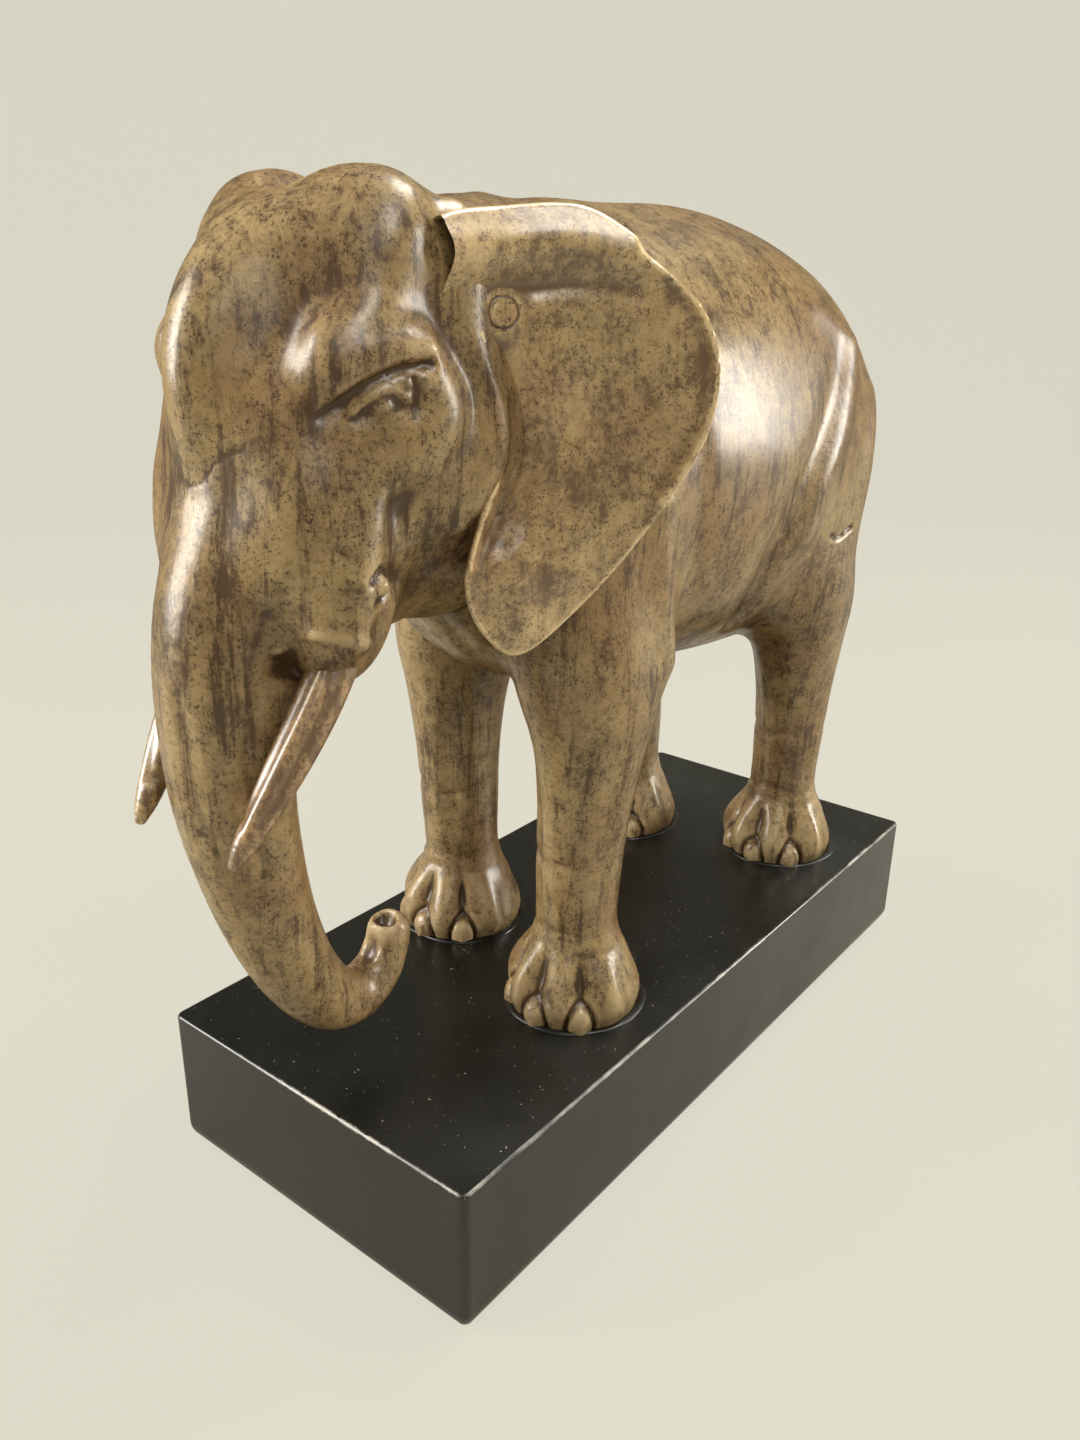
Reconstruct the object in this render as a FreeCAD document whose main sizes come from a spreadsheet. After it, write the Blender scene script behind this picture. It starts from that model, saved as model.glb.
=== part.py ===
"""A carved wooden elephant standing on a lacquered plinth.

Millimetres, +Z up. The origin is the middle of the plinth's underside. The
elephant faces -Y and its own left side is +X.

The carver worked one block into torso, neck, head and legs, and let the
trunk, ears, tusks and tail into it as pieces of their own. The trunk and the
ears are pegged with dowels. Four screws from below hold the feet to the plinth.
"""

import FreeCAD, Part
import Sketcher

import math
import os
import re

from FreeCAD import Placement, Rotation, Vector

doc = FreeCAD.newDocument("carved_elephant")
sheet = doc.addObject("Spreadsheet::Sheet", "sizes")

# Every driving size: its name, its value in millimetres or degrees, and what it is.
SIZES = (
    ("plinth_length", 320.0, "plinth, along the elephant"),
    ("plinth_width", 140.0, "plinth, across the elephant"),
    ("plinth_height", 56.0, "plinth, thickness of the block"),
    ("plinth_under_round", 8.5, "radius along the plinth's bottom edges"),
    ("plinth_corner_round", 3.0, "radius of the plinth's upright corners"),
    ("plinth_top_wear", 1.2, "radius worn on the plinth's top edges"),
    ("barrel_length", 252.0, "torso, chest to rump"),
    ("barrel_middle", 22.0, "torso's middle behind the plinth's middle"),
    ("barrel_height", 184.0, "torso's middle line above the plinth"),
    ("barrel_depth", 174.0, "torso, back to belly"),
    ("barrel_width", 124.0, "torso, flank to flank"),
    ("head_forward", 140.0, "head's centre in front of the plinth's middle"),
    ("head_rise", 45.0, "head's centre above the torso's middle line"),
    ("head_length", 90.0, "head, forehead to nape"),
    ("head_width", 80.0, "head, cheek to cheek"),
    ("head_height", 120.0, "head, crown to jaw"),
    ("foot_radius", 24.5, "widest part of a foot"),
    ("foot_height", 18.0, "height of the flared part of a foot"),
    ("ankle_radius", 15.0, "thinnest part of a leg, seen from the front"),
    ("shoulder_length", 72.0, "top of a front leg, along the body"),
    ("haunch_length", 80.0, "top of a hind leg, along the body"),
    ("leg_inset", 6.0, "how far the legs lean in at their tops"),
    ("shoulder_rake", 8.0, "how far the front legs' tops lie behind their feet"),
    ("haunch_rake", -17.0, "how far the hind legs' tops lie behind their feet"),
    ("trunk_radius", 20.5, "thickest part of the trunk"),
    ("trunk_reach", 36.0, "trunk's axis in front of the head's centre"),
    ("tusk_radius", 6.5, "thickest part of a tusk"),
    ("tusk_beside", 4.5, "tusk's axis outside the trunk's side, at its socket"),
    ("ear_width", 67.0, "ear, root to outer edge"),
    ("ear_height", 119.0, "ear, top to tip"),
    ("ear_thickness", 6.0, "ear, through its blade"),
    ("ear_bend_radius", 75.0, "radius of the ear's hollow face"),
    ("ear_angle", 47.0, "ear's blade turned back from straight sideways"),
    ("ear_root_out", 39.0, "ear's root from the middle plane"),
    ("ear_root_forward", 120.0, "ear's root in front of the plinth's middle"),
    ("tail_radius", 5.2, "thickest part of the tail"),
    ("ear_dowel_radius", 3.5, "peg through an ear"),
    ("ear_dowel_length", 30.0, "peg through an ear"),
    ("trunk_dowel_radius", 4.0, "peg inside the trunk's joint"),
    ("trunk_dowel_length", 34.0, "peg inside the trunk's joint"),
    ("screw_radius", 2.3, "shank of a foot screw"),
    ("screw_head_radius", 4.6, "head of a foot screw"),
    ("screw_head_height", 3.2, "head of a foot screw"),
    ("screw_length", 50.0, "foot screw, under its head"),
    ("screw_in_foot", 24.0, "how far a foot screw reaches into a foot"),
    ("access_radius", 6.0, "hole in the plinth that takes a screw's head"),
    ("glue_gap", 0.12, "clearance round each piece that is let in"),
)

for row, (alias, value, meaning) in enumerate(SIZES, start=1):
    sheet.set("A%d" % row, alias)
    sheet.set("B%d" % row, repr(value))
    sheet.set("C%d" % row, meaning)
    sheet.setAlias("B%d" % row, alias)
doc.recompute()

ALIASES = [alias for alias, _, _ in SIZES]
WORD = re.compile(r"\b(" + "|".join(ALIASES) + r")\b")

# How the rings of the lofts are turned: ellipses start flat, long axis along X.
LEVEL_LONG_ALONG_Y = Rotation(Vector(0, 0, 1), 90)
UPRIGHT_ACROSS = Rotation(Vector(1, 1, 1), 240)
QUARTER_TURN = Rotation(Vector(0, 0, 1), 90)

SAME = 1e-4

HEAD_DROP = "(barrel_height + head_rise)"
HEAD_Z = "(plinth_height + barrel_height + head_rise)"
BARREL_Z = "(plinth_height + barrel_height)"
TUSK_X = "(trunk_radius + tusk_beside)"


def size(alias):
    """Read a driving size from the sheet, for shapes that code has to make."""
    return float(getattr(sheet, alias))


def bind(thing, prop, text):
    """Tie a property to an expression in which sizes go by their bare names."""
    thing.setExpression(prop, WORD.sub(r"sizes.\1", text))


def place(thing, x, y, z):
    """Tie the three coordinates of a thing's base point to expressions."""
    for axis, text in zip("xyz", (x, y, z)):
        bind(thing, ".Placement.Base." + axis, text)


def worth(text):
    """The number that an expression comes to."""
    return float(sheet.evalExpression(text))


def ring(name, long_half, short_half, x, y, z, turn):
    """One elliptic section for a loft, whichever of its half axes is the longer."""
    if worth(long_half) < worth(short_half):
        long_half, short_half = short_half, long_half
        turn = turn * QUARTER_TURN
    section = doc.addObject("Part::Ellipse", name)
    bind(section, "MajorRadius", long_half)
    bind(section, "MinorRadius", short_half)
    section.Placement = Placement(Vector(), turn)
    place(section, x, y, z)
    return section


def loft(name, sections):
    """A smooth solid through sections that stand in order."""
    solid = doc.addObject("Part::Loft", name)
    solid.Sections = sections
    solid.Solid = True
    return solid


def egg(name, x, y, z, half_x, half_y, half_z):
    """An ellipsoid with its own half axes along X, Y and Z."""
    solid = doc.addObject("Part::Ellipsoid", name)
    bind(solid, "Radius2", half_x)
    bind(solid, "Radius3", half_y)
    bind(solid, "Radius1", half_z)
    solid.Angle1 = -90
    place(solid, x, y, z)
    return solid


def rod(name, radius, length, x, y, z, turn):
    """A cylinder, turned from +Z."""
    solid = doc.addObject("Part::Cylinder", name)
    bind(solid, "Radius", radius)
    bind(solid, "Height", length)
    solid.Placement = Placement(Vector(), turn)
    place(solid, x, y, z)
    return solid


def fuse(name, shapes):
    """One solid out of several that run into each other."""
    joined = doc.addObject("Part::MultiFuse", name)
    joined.Shapes = shapes
    joined.Refine = False
    return joined


def cut(name, base, tool):
    """A solid less another."""
    left = doc.addObject("Part::Cut", name)
    left.Base = base
    left.Tool = tool
    left.Refine = False
    return left


def mirror(name, source):
    """The same thing on the elephant's right side."""
    copy = doc.addObject("Part::Mirroring", name)
    copy.Source = source
    copy.Normal = Vector(1, 0, 0)
    copy.Base = Vector(0, 0, 0)
    return copy


def body_plane(body, role):
    """One of a body's own origin planes, found by its role."""
    for feature in body.Origin.OriginFeatures:
        if feature.Role == role:
            return feature
    raise RuntimeError("no plane " + role)


# Torso: upright rings from chest to rump. Each row gives the place along the
# torso from -1 to 1, the lift of the ring's centre, and its two half axes, all
# as shares of the torso's half length, depth, half depth and half width.
TORSO_ROWS = (
    (-1.00, 0.080, 0.32, 0.40),
    (-0.94, 0.070, 0.56, 0.60),
    (-0.80, 0.060, 0.77, 0.77),
    (-0.57, 0.050, 0.88, 0.89),
    (-0.25, 0.040, 0.91, 0.97),
    (0.06, 0.026, 0.95, 1.00),
    (0.34, 0.010, 0.95, 0.99),
    (0.58, -0.010, 0.90, 0.94),
    (0.78, -0.030, 0.79, 0.83),
    (0.91, -0.036, 0.61, 0.66),
    (0.98, -0.036, 0.37, 0.42),
    (1.00, -0.036, 0.16, 0.18),
)


def make_torso():
    """Barrel of the body, narrow at the chest and round at the rump."""
    rings = []
    for number, (along, lift, deep, wide) in enumerate(TORSO_ROWS):
        rings.append(ring(
            "torso_ring_%d" % number,
            "%g * barrel_depth / 2" % deep,
            "%g * barrel_width / 2" % wide,
            "0",
            "barrel_middle + %g * barrel_length / 2" % along,
            BARREL_Z + " + %g * barrel_depth" % lift,
            UPRIGHT_ACROSS,
        ))
    return loft("torso", rings)


# Head: level rings from crown to jaw. Each row gives the height above the head's
# centre in half heights and the centre's set-back in lengths of the head, then
# the half axes as shares of the head's half length and half width.
HEAD_ROWS = (
    (0.68, 0.05, 0.30, 0.33),
    (0.58, 0.05, 0.54, 0.60),
    (0.36, 0.06, 0.70, 0.80),
    (0.03, 0.06, 0.79, 0.93),
    (-0.33, 0.06, 0.82, 0.88),
    (-0.67, 0.05, 0.83, 0.80),
    (-0.95, 0.05, 0.74, 0.72),
    (-1.18, 0.06, 0.52, 0.50),
    (-1.30, 0.08, 0.26, 0.24),
)


def make_skull():
    """Main mass of the head."""
    rings = []
    for number, (up, back, long, wide) in enumerate(HEAD_ROWS):
        rings.append(ring(
            "head_ring_%d" % number,
            "%g * head_length / 2" % long,
            "%g * head_width / 2" % wide,
            "0",
            "-head_forward + %g * head_length" % back,
            HEAD_Z + " + %g * head_height / 2" % up,
            LEVEL_LONG_ALONG_Y,
        ))
    return loft("skull", rings)


# Swellings of one side of the head: name, how far out the centre is, then its
# place back and up from the head's centre and the half axes, as shares of the
# head's half width, half length and half height.
SWELLINGS = (
    ("dome", "0.46 * head_width / 2", 0.16, 0.36, 0.50, 0.55, 0.41),
    ("brow", "0.80 * head_width / 2", -0.26, 0.04, 0.17, 0.34, 0.13),
    ("cheek", "0.72 * head_width / 2", 0.27, -0.33, 0.42, 0.55, 0.46),
    ("tusk_socket", TUSK_X + " - 1.8", -0.36, -0.86, 0.38, 0.42, 0.52),
)


def make_head():
    """Skull, the swellings of both its sides, the forehead and the neck."""
    parts = [make_skull()]
    for name, out, back, up, half_x, half_y, half_z in SWELLINGS:
        left = egg(
            "left_" + name,
            out,
            "-head_forward + %g * head_length / 2" % back,
            HEAD_Z + " + %g * head_height / 2" % up,
            "%g * head_width / 2" % half_x,
            "%g * head_length / 2" % half_y,
            "%g * head_height / 2" % half_z,
        )
        parts += [left, mirror("right_" + name, left)]
    parts.append(egg(
        "forehead", "0", "-head_forward - 0.2 * head_length / 2", HEAD_Z + " - 0.1 * head_height / 2",
        "0.48 * head_width / 2", "0.8 * head_length / 2", "0.74 * head_height / 2",
    ))
    parts.append(egg(
        "neck", "0", "-head_forward + 0.8 * head_length / 2", HEAD_Z + " - 0.36 * head_height / 2",
        "1.15 * head_width / 2", "head_length / 2", "0.96 * head_height / 2",
    ))
    return parts


# Legs: place of each foot on the plinth, left of the middle and behind it.
FEET = (
    ("front_left", 33.0, -58.0, "shoulder"),
    ("front_right", -39.0, -40.0, "shoulder"),
    ("rear_left", 33.0, 102.0, "haunch"),
    ("rear_right", -38.0, 79.0, "haunch"),
)

# Rings of the foot: height as a share of the foot's height, radius as a share.
FOOT_ROWS = (
    (0.00, 0.97),
    (0.38, 1.00),
    (1.00, 0.83),
)

# Rings of the leg above the foot: height as a share of the torso's height, then
# half axes: along the body and across it, as shares of the ankle's radius, then
# how much of each is the shoulder's or haunch's instead, and the inset and rake.
LEG_ROWS = (
    (0.175, 1.04, 0.98, 0.00, 0.0, 0.0),
    (0.29, 1.05, 0.98, 0.02, -0.1, 0.0),
    (0.43, 1.08, 1.00, 0.10, -0.3, 0.1),
    (0.56, 1.08, 1.02, 0.34, -0.4, 0.3),
    (0.67, 1.10, 1.06, 0.74, -0.1, 0.6),
    (0.81, 1.10, 1.10, 1.00, 0.6, 0.9),
    (0.97, 1.10, 1.10, 0.90, 1.0, 1.0),
)
THIGH_FLATNESS = 0.68


def make_leg(name, out, back, top):
    """One leg from its flared foot to its top inside the torso."""
    rings = []
    side = math.copysign(1.0, out)
    for number, (up, round_share) in enumerate(FOOT_ROWS):
        rings.append(ring(
            "%s_foot_ring_%d" % (name, number),
            "%g * foot_radius" % round_share,
            "%g * foot_radius" % (0.97 * round_share),
            "%g" % out,
            "%g" % back,
            "plinth_height + %g * foot_height" % up,
            LEVEL_LONG_ALONG_Y,
        ))
    for number, (up, along, across, mix, lean, rake) in enumerate(LEG_ROWS):
        long_half = "%g * ankle_radius + %g * %s_length / 2" % (along * (1 - mix), mix, top)
        short_half = "%g * ankle_radius + %g * %s_length / 2" % (
            across * (1 - mix), mix * THIGH_FLATNESS, top)
        rings.append(ring(
            "%s_leg_ring_%d" % (name, number),
            long_half,
            short_half,
            "%g - %g * leg_inset" % (out, side * lean),
            "%g + %g * %s_rake" % (back, rake, top),
            "plinth_height + %g * barrel_height" % up,
            LEVEL_LONG_ALONG_Y,
        ))
    return loft(name + "_leg", rings)


# Trunk: rings down its axis. Each row gives the axis in front of the trunk's
# reach, its drop as a share of the way from the head's centre to the plinth, the
# radius as a share of the thickest one, and the turn of the axis from straight
# down towards the legs, in degrees.
TRUNK_ROWS = (
    (-33.0, 0.131, 0.80, -52),
    (-19.0, 0.183, 0.94, -42),
    (-8.0, 0.249, 1.00, -24),
    (-1.5, 0.349, 0.95, -5),
    (0.0, 0.485, 0.86, 3),
    (-3.0, 0.590, 0.77, 10),
    (-9.0, 0.699, 0.68, 17),
    (-18.0, 0.795, 0.60, 30),
    (-29.0, 0.860, 0.53, 53),
    (-40.0, 0.882, 0.45, 87),
    (-50.0, 0.867, 0.40, 127),
    (-55.0, 0.834, 0.37, 155),
    (-57.0, 0.803, 0.36, 168),
)


def make_trunk(name, spare, rows):
    """The trunk, or with spare round it the seat that it needs in the head."""
    rings = []
    for number, (forward, drop, share, turn) in enumerate(rows):
        radius = "%g * trunk_radius + %s" % (share, spare)
        rings.append(ring(
            "%s_ring_%d" % (name, number),
            radius,
            radius,
            "0",
            "-head_forward - trunk_reach - %g" % forward,
            HEAD_Z + " - %g * %s" % (drop, HEAD_DROP),
            Rotation(Vector(1, 0, 0), 180 + turn),
        ))
    return loft(name, rings)


# Tusks: rings along the axis. Each row gives the axis inside its place at the
# socket, in front of the head's centre, below it, the radius's share and the
# forward turn from straight down, in degrees.
TUSK_ROWS = (
    (0.0, 8.0, 55.0, 0.92, 25),
    (-1.0, 16.0, 70.0, 1.00, 30),
    (-1.0, 25.0, 84.0, 1.00, 34),
    (0.5, 37.0, 101.0, 0.86, 36),
    (3.0, 48.0, 117.0, 0.56, 35),
    (4.0, 53.0, 124.0, 0.28, 34),
)


def make_tusk(name, spare):
    """The left tusk, or with spare round it the socket that it needs."""
    rings = []
    for number, (inward, forward, down, share, turn) in enumerate(TUSK_ROWS):
        radius = "%g * tusk_radius + %s" % (share, spare)
        rings.append(ring(
            "%s_ring_%d" % (name, number),
            radius,
            radius,
            TUSK_X + " - %g" % inward,
            "-head_forward - %g" % forward,
            HEAD_Z + " - %g" % down,
            Rotation(Vector(1, 0, 0), 180 - turn),
        ))
    return loft(name, rings)


# Tail: rings along its axis. Each row gives the axis behind the rump, above the
# torso's middle line, the radius's share and the turn backwards from straight down.
TAIL_ROWS = (
    (-14.0, 50.0, 0.95, 62),
    (-1.0, 41.0, 1.00, 45),
    (5.0, 28.0, 0.95, 16),
    (6.0, 4.0, 0.85, 0),
    (5.0, -22.0, 0.75, -4),
    (3.0, -48.0, 0.66, -4),
    (2.0, -64.0, 0.85, 0),
    (2.0, -80.0, 0.95, 0),
    (2.0, -98.0, 0.45, 0),
)


def make_tail(name, spare):
    """The tail, or with spare round it the socket that it needs in the rump."""
    rings = []
    for number, (back, up, share, turn) in enumerate(TAIL_ROWS):
        radius = "%g * tail_radius + %s" % (share, spare)
        rings.append(ring(
            "%s_ring_%d" % (name, number),
            radius,
            radius,
            "0",
            "barrel_middle + barrel_length / 2 + %g" % back,
            BARREL_Z + " + %g" % up,
            Rotation(Vector(1, 0, 0), 180 + turn),
        ))
    return loft(name, rings)


# Outline of the left ear's blade, seen on its hollow face: outwards from the
# root as a share of the ear's width, and up from the tip as a share of its height.
EAR_OUTLINE = (
    (-0.05, 0.94),
    (0.12, 0.98),
    (0.43, 1.00),
    (0.70, 0.92),
    (0.93, 0.79),
    (1.00, 0.63),
    (0.90, 0.43),
    (0.60, 0.18),
    (0.24, 0.00),
    (0.05, 0.06),
    (-0.03, 0.20),
    (0.05, 0.38),
    (0.12, 0.52),
    (0.02, 0.74),
)
EAR_TIP_BELOW_HEAD = 82.0
EAR_BLADE_SPARE = 20.0


def ear_outline_face(name, spare):
    """The ear's outline as a face in its own XZ plane."""
    wide = size("ear_width") + 2 * spare
    high = size("ear_height") + 2 * spare
    points = [Vector(wide * out - spare, 0, high * up - spare) for out, up in EAR_OUTLINE]
    curve = Part.BSplineCurve()
    curve.interpolate(points, PeriodicFlag=True)
    face = doc.addObject("Part::Feature", name)
    face.Shape = Part.Face(Part.Wire([curve.toShape()]))
    return face


def bend_depth(out):
    """How far the middle of the ear's blade lies behind its root and edge."""
    radius = size("ear_bend_radius")
    half = size("ear_width") / 2
    return math.sqrt(radius ** 2 - (out - half) ** 2) - math.sqrt(radius ** 2 - half ** 2)


def ear_blade_face(name, spare):
    """The bent blade's section, seen from above: a band between two arcs."""
    thick = size("ear_thickness") / 2 + spare
    wide = size("ear_width")
    low = -EAR_BLADE_SPARE / 2
    high = wide + EAR_BLADE_SPARE / 2
    stations = (low, wide / 2, high)
    front = [Vector(out, bend_depth(out) - thick, 0) for out in stations]
    back = [Vector(out, bend_depth(out) + thick, 0) for out in stations]
    edges = [
        Part.Arc(*front).toShape(),
        Part.makeLine(front[-1], back[-1]),
        Part.Arc(*reversed(back)).toShape(),
        Part.makeLine(back[0], front[0]),
    ]
    face = doc.addObject("Part::Feature", name)
    face.Shape = Part.Face(Part.Wire(edges))
    return face


def extrude(name, base, direction, length, reverse):
    """A face drawn out along a direction, and the other way by reverse."""
    solid = doc.addObject("Part::Extrusion", name)
    solid.Base = base
    solid.Dir = direction
    solid.DirMode = "Custom"
    solid.LengthFwd = length
    solid.LengthRev = reverse
    solid.Solid = True
    return solid


def make_ear(name, spare):
    """The left ear's blade, or with spare round it the seat that it needs."""
    deep = size("ear_thickness") * 6
    outline = extrude(
        name + "_outline_block", ear_outline_face(name + "_outline", spare),
        Vector(0, 1, 0), deep, deep)
    blade = extrude(
        name + "_blade_block", ear_blade_face(name + "_blade", spare),
        Vector(0, 0, 1), size("ear_height") + EAR_BLADE_SPARE, EAR_BLADE_SPARE)
    both = doc.addObject("Part::MultiCommon", name)
    both.Shapes = [outline, blade]
    both.Placement = Placement(Vector(), Rotation(Vector(0, 0, 1), size("ear_angle")))
    place(both, "ear_root_out", "-ear_root_forward", HEAD_Z + " - %g" % EAR_TIP_BELOW_HEAD)
    return both


# Place of the ear's peg on the blade: out from the root and above the ear's tip.
PEG_OUT = 9.0
PEG_UP = 93.0
PEG_PROUD = 0.3
PEG_HOLE_START = 5.0


def ear_peg(name, radius, length, start):
    """A peg square to the ear's blade, from start in front of it towards the head."""
    angle = math.radians(size("ear_angle"))
    front = bend_depth(PEG_OUT) - size("ear_thickness") / 2 - start
    x = PEG_OUT * math.cos(angle) - front * math.sin(angle)
    y = PEG_OUT * math.sin(angle) + front * math.cos(angle)
    turn = Rotation(Vector(0, 0, 1), Vector(-math.sin(angle), math.cos(angle), 0))
    return rod(
        name, radius, length,
        "ear_root_out + %g" % x,
        "-ear_root_forward + %g" % y,
        HEAD_Z + " - %g" % (EAR_TIP_BELOW_HEAD - PEG_UP),
        turn,
    )


def make_plinth():
    """The lacquered block, with a counterbored hole from below for each foot's screw."""
    body = doc.addObject("PartDesign::Body", "plinth_block")
    outline = body.newObject("Sketcher::SketchObject", "plinth_outline")
    outline.AttachmentSupport = [(body_plane(body, "XY_Plane"), "")]
    outline.MapMode = "FlatFace"
    half_x, half_y = size("plinth_width") / 2, size("plinth_length") / 2
    corners = [Vector(-half_x, -half_y), Vector(half_x, -half_y),
               Vector(half_x, half_y), Vector(-half_x, half_y)]
    for start, end in zip(corners, corners[1:] + corners[:1]):
        outline.addGeometry(Part.LineSegment(start, end))
    for side in range(4):
        outline.addConstraint(Sketcher.Constraint("Coincident", side, 2, (side + 1) % 4, 1))
    for side, kind in enumerate(("Horizontal", "Vertical", "Horizontal", "Vertical")):
        outline.addConstraint(Sketcher.Constraint(kind, side))
    outline.addConstraint(Sketcher.Constraint("Symmetric", 0, 1, 2, 1, -1, 1))
    across = outline.addConstraint(Sketcher.Constraint("DistanceX", 0, 1, 0, 2, 2 * half_x))
    along = outline.addConstraint(Sketcher.Constraint("DistanceY", 1, 1, 1, 2, 2 * half_y))
    bind(outline, "Constraints[%d]" % across, "plinth_width")
    bind(outline, "Constraints[%d]" % along, "plinth_length")
    block = body.newObject("PartDesign::Pad", "plinth_pad")
    block.Profile = outline
    bind(block, "Length", "plinth_height")
    doc.recompute()

    tip = drill(body, "screw_access", "access_radius",
                "plinth_height + screw_in_foot - screw_length", block)
    tip = drill(body, "screw_way", "screw_radius + glue_gap", "plinth_height", tip)
    for name, kind, alias in (
            ("under_rounds", "under", "plinth_under_round"),
            ("corner_rounds", "upright", "plinth_corner_round"),
            ("top_wear", "top", "plinth_top_wear")):
        rounding = body.newObject("PartDesign::Fillet", name)
        rounding.Base = (tip, outer_edges(tip.Shape)[kind])
        bind(rounding, "Radius", alias)
        doc.recompute()
        tip = rounding
    return body


def drill(body, name, radius, depth, before):
    """Drill the four screw places upwards from the plinth's underside."""
    holes = body.newObject("Sketcher::SketchObject", name + "_places")
    holes.AttachmentSupport = [(body_plane(body, "XY_Plane"), "")]
    holes.MapMode = "FlatFace"
    for _, out, back, _ in FEET:
        index = holes.addGeometry(Part.Circle(Vector(out, back), Vector(0, 0, 1), 1.0))
        holes.addConstraint(Sketcher.Constraint("DistanceX", -1, 1, index, 3, out))
        holes.addConstraint(Sketcher.Constraint("DistanceY", -1, 1, index, 3, back))
        limit = holes.addConstraint(Sketcher.Constraint("Radius", index, 1.0))
        bind(holes, "Constraints[%d]" % limit, radius)
    pocket = body.newObject("PartDesign::Pocket", name)
    pocket.Profile = holes
    pocket.Reversed = True
    bind(pocket, "Length", depth)
    doc.recompute()
    if pocket.Shape.Volume > before.Shape.Volume - 1:
        raise RuntimeError(name + " cut nothing")
    return pocket


def outer_edges(shape):
    """The block's outer edges by kind: upright, under and top."""
    kinds = {"upright": [], "under": [], "top": []}
    half_x, half_y = size("plinth_width") / 2, size("plinth_length") / 2
    for number, edge in enumerate(shape.Edges, start=1):
        ends = [vertex.Point for vertex in edge.Vertexes]
        if len(ends) < 2:
            continue
        reach = max(max(abs(end.x) / half_x, abs(end.y) / half_y) for end in ends)
        if reach < 1 - SAME:
            continue
        if (ends[0] - ends[1]).cross(Vector(0, 0, 1)).Length < SAME:
            kinds["upright"].append("Edge%d" % number)
        elif max(end.z for end in ends) < SAME:
            kinds["under"].append("Edge%d" % number)
        elif min(end.z for end in ends) > size("plinth_height") - SAME:
            kinds["top"].append("Edge%d" % number)
    return kinds


def make_screw(name, out, back):
    """A pan-head wood screw, head down in its counterbore."""
    seat = "plinth_height + screw_in_foot - screw_length"
    up = Rotation()
    head = rod(name + "_head", "screw_head_radius", "screw_head_height",
               "%g" % out, "%g" % back, seat + " - screw_head_height", up)
    shank = rod(name + "_shank", "screw_radius", "screw_length - 3 * screw_radius",
                "%g" % out, "%g" % back, seat, up)
    point = doc.addObject("Part::Cone", name + "_point")
    bind(point, "Radius1", "screw_radius")
    bind(point, "Radius2", "screw_radius / 8")
    bind(point, "Height", "3 * screw_radius")
    place(point, "%g" % out, "%g" % back, seat + " + screw_length - 3 * screw_radius")
    return fuse(name, [head, shank, point])


def make_pilot(name, out, back):
    """The hole in a foot that a screw goes into."""
    return rod(name, "screw_radius + glue_gap", "screw_in_foot + 1",
               "%g" % out, "%g" % back, "plinth_height", Rotation())


# Share of the trunk's peg that lies in the trunk; the rest is in the head.
TRUNK_PEG_IN_TRUNK = 0.45


def trunk_peg(name, spare):
    """The peg on the axis of the trunk's root, or with spare round it the hole for it."""
    forward, drop, _, turn = TRUNK_ROWS[0]
    start = "(%g * trunk_dowel_length + 2 * (%s))" % (TRUNK_PEG_IN_TRUNK, spare)
    rise, back = math.cos(math.radians(turn)), -math.sin(math.radians(turn))
    return rod(
        name, "trunk_dowel_radius + " + spare, "trunk_dowel_length + 4 * (%s)" % spare,
        "0",
        "-head_forward - trunk_reach - (%g) - %g * %s" % (forward, back, start),
        HEAD_Z + " - %g * %s - %g * %s" % (drop, HEAD_DROP, rise, start),
        Rotation(Vector(1, 0, 0), turn))


def make_parts():
    """Build every piece and return those to write, by node name."""
    parts = {"plinth": make_plinth()}

    trunk = make_trunk("trunk_form", "0", TRUNK_ROWS)
    trunk_seat = make_trunk("trunk_seat", "glue_gap", TRUNK_ROWS)
    parts["trunk_dowel"] = trunk_peg("trunk_peg", "0")
    peg_hole = trunk_peg("trunk_peg_hole", "glue_gap")
    parts["trunk"] = cut("trunk_piece", trunk, peg_hole)

    tusk = make_tusk("tusk_form", "0")
    parts["left_tusk"] = tusk
    parts["right_tusk"] = mirror("tusk_mirrored", tusk)
    tusk_seat = make_tusk("tusk_seat", "glue_gap")

    ear = make_ear("ear_form", 0.0)
    ear_seat = make_ear("ear_seat", size("glue_gap"))
    ear_hole = ear_peg("ear_peg_hole", "ear_dowel_radius + glue_gap",
                       "ear_dowel_length + %g + 2 * glue_gap" % PEG_HOLE_START, PEG_HOLE_START)
    left_ear = cut("left_ear_piece", ear, ear_hole)
    parts["left_ear"] = left_ear
    parts["right_ear"] = mirror("right_ear_piece", left_ear)
    peg = ear_peg("ear_peg", "ear_dowel_radius", "ear_dowel_length", PEG_PROUD)
    parts["left_ear_dowel"] = peg
    parts["right_ear_dowel"] = mirror("ear_peg_mirrored", peg)

    parts["tail"] = make_tail("tail_form", "0")
    tail_seat = make_tail("tail_seat", "glue_gap")

    seats = [
        trunk_seat, peg_hole, tail_seat,
        tusk_seat, mirror("right_tusk_seat", tusk_seat),
        ear_seat, mirror("right_ear_seat", ear_seat),
        ear_hole, mirror("right_ear_peg_hole", ear_hole),
    ]
    block = [make_torso()] + make_head()
    for name, out, back, top in FEET:
        block.append(make_leg(name, out, back, top))
        seats.append(make_pilot(name + "_pilot", out, back))
        parts["foot_screw_" + name] = make_screw("screw_" + name, out, back)
    carving = fuse("carving", block)
    parts["body"] = cut("carving_seated", carving, fuse("seats", seats))
    return parts


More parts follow.
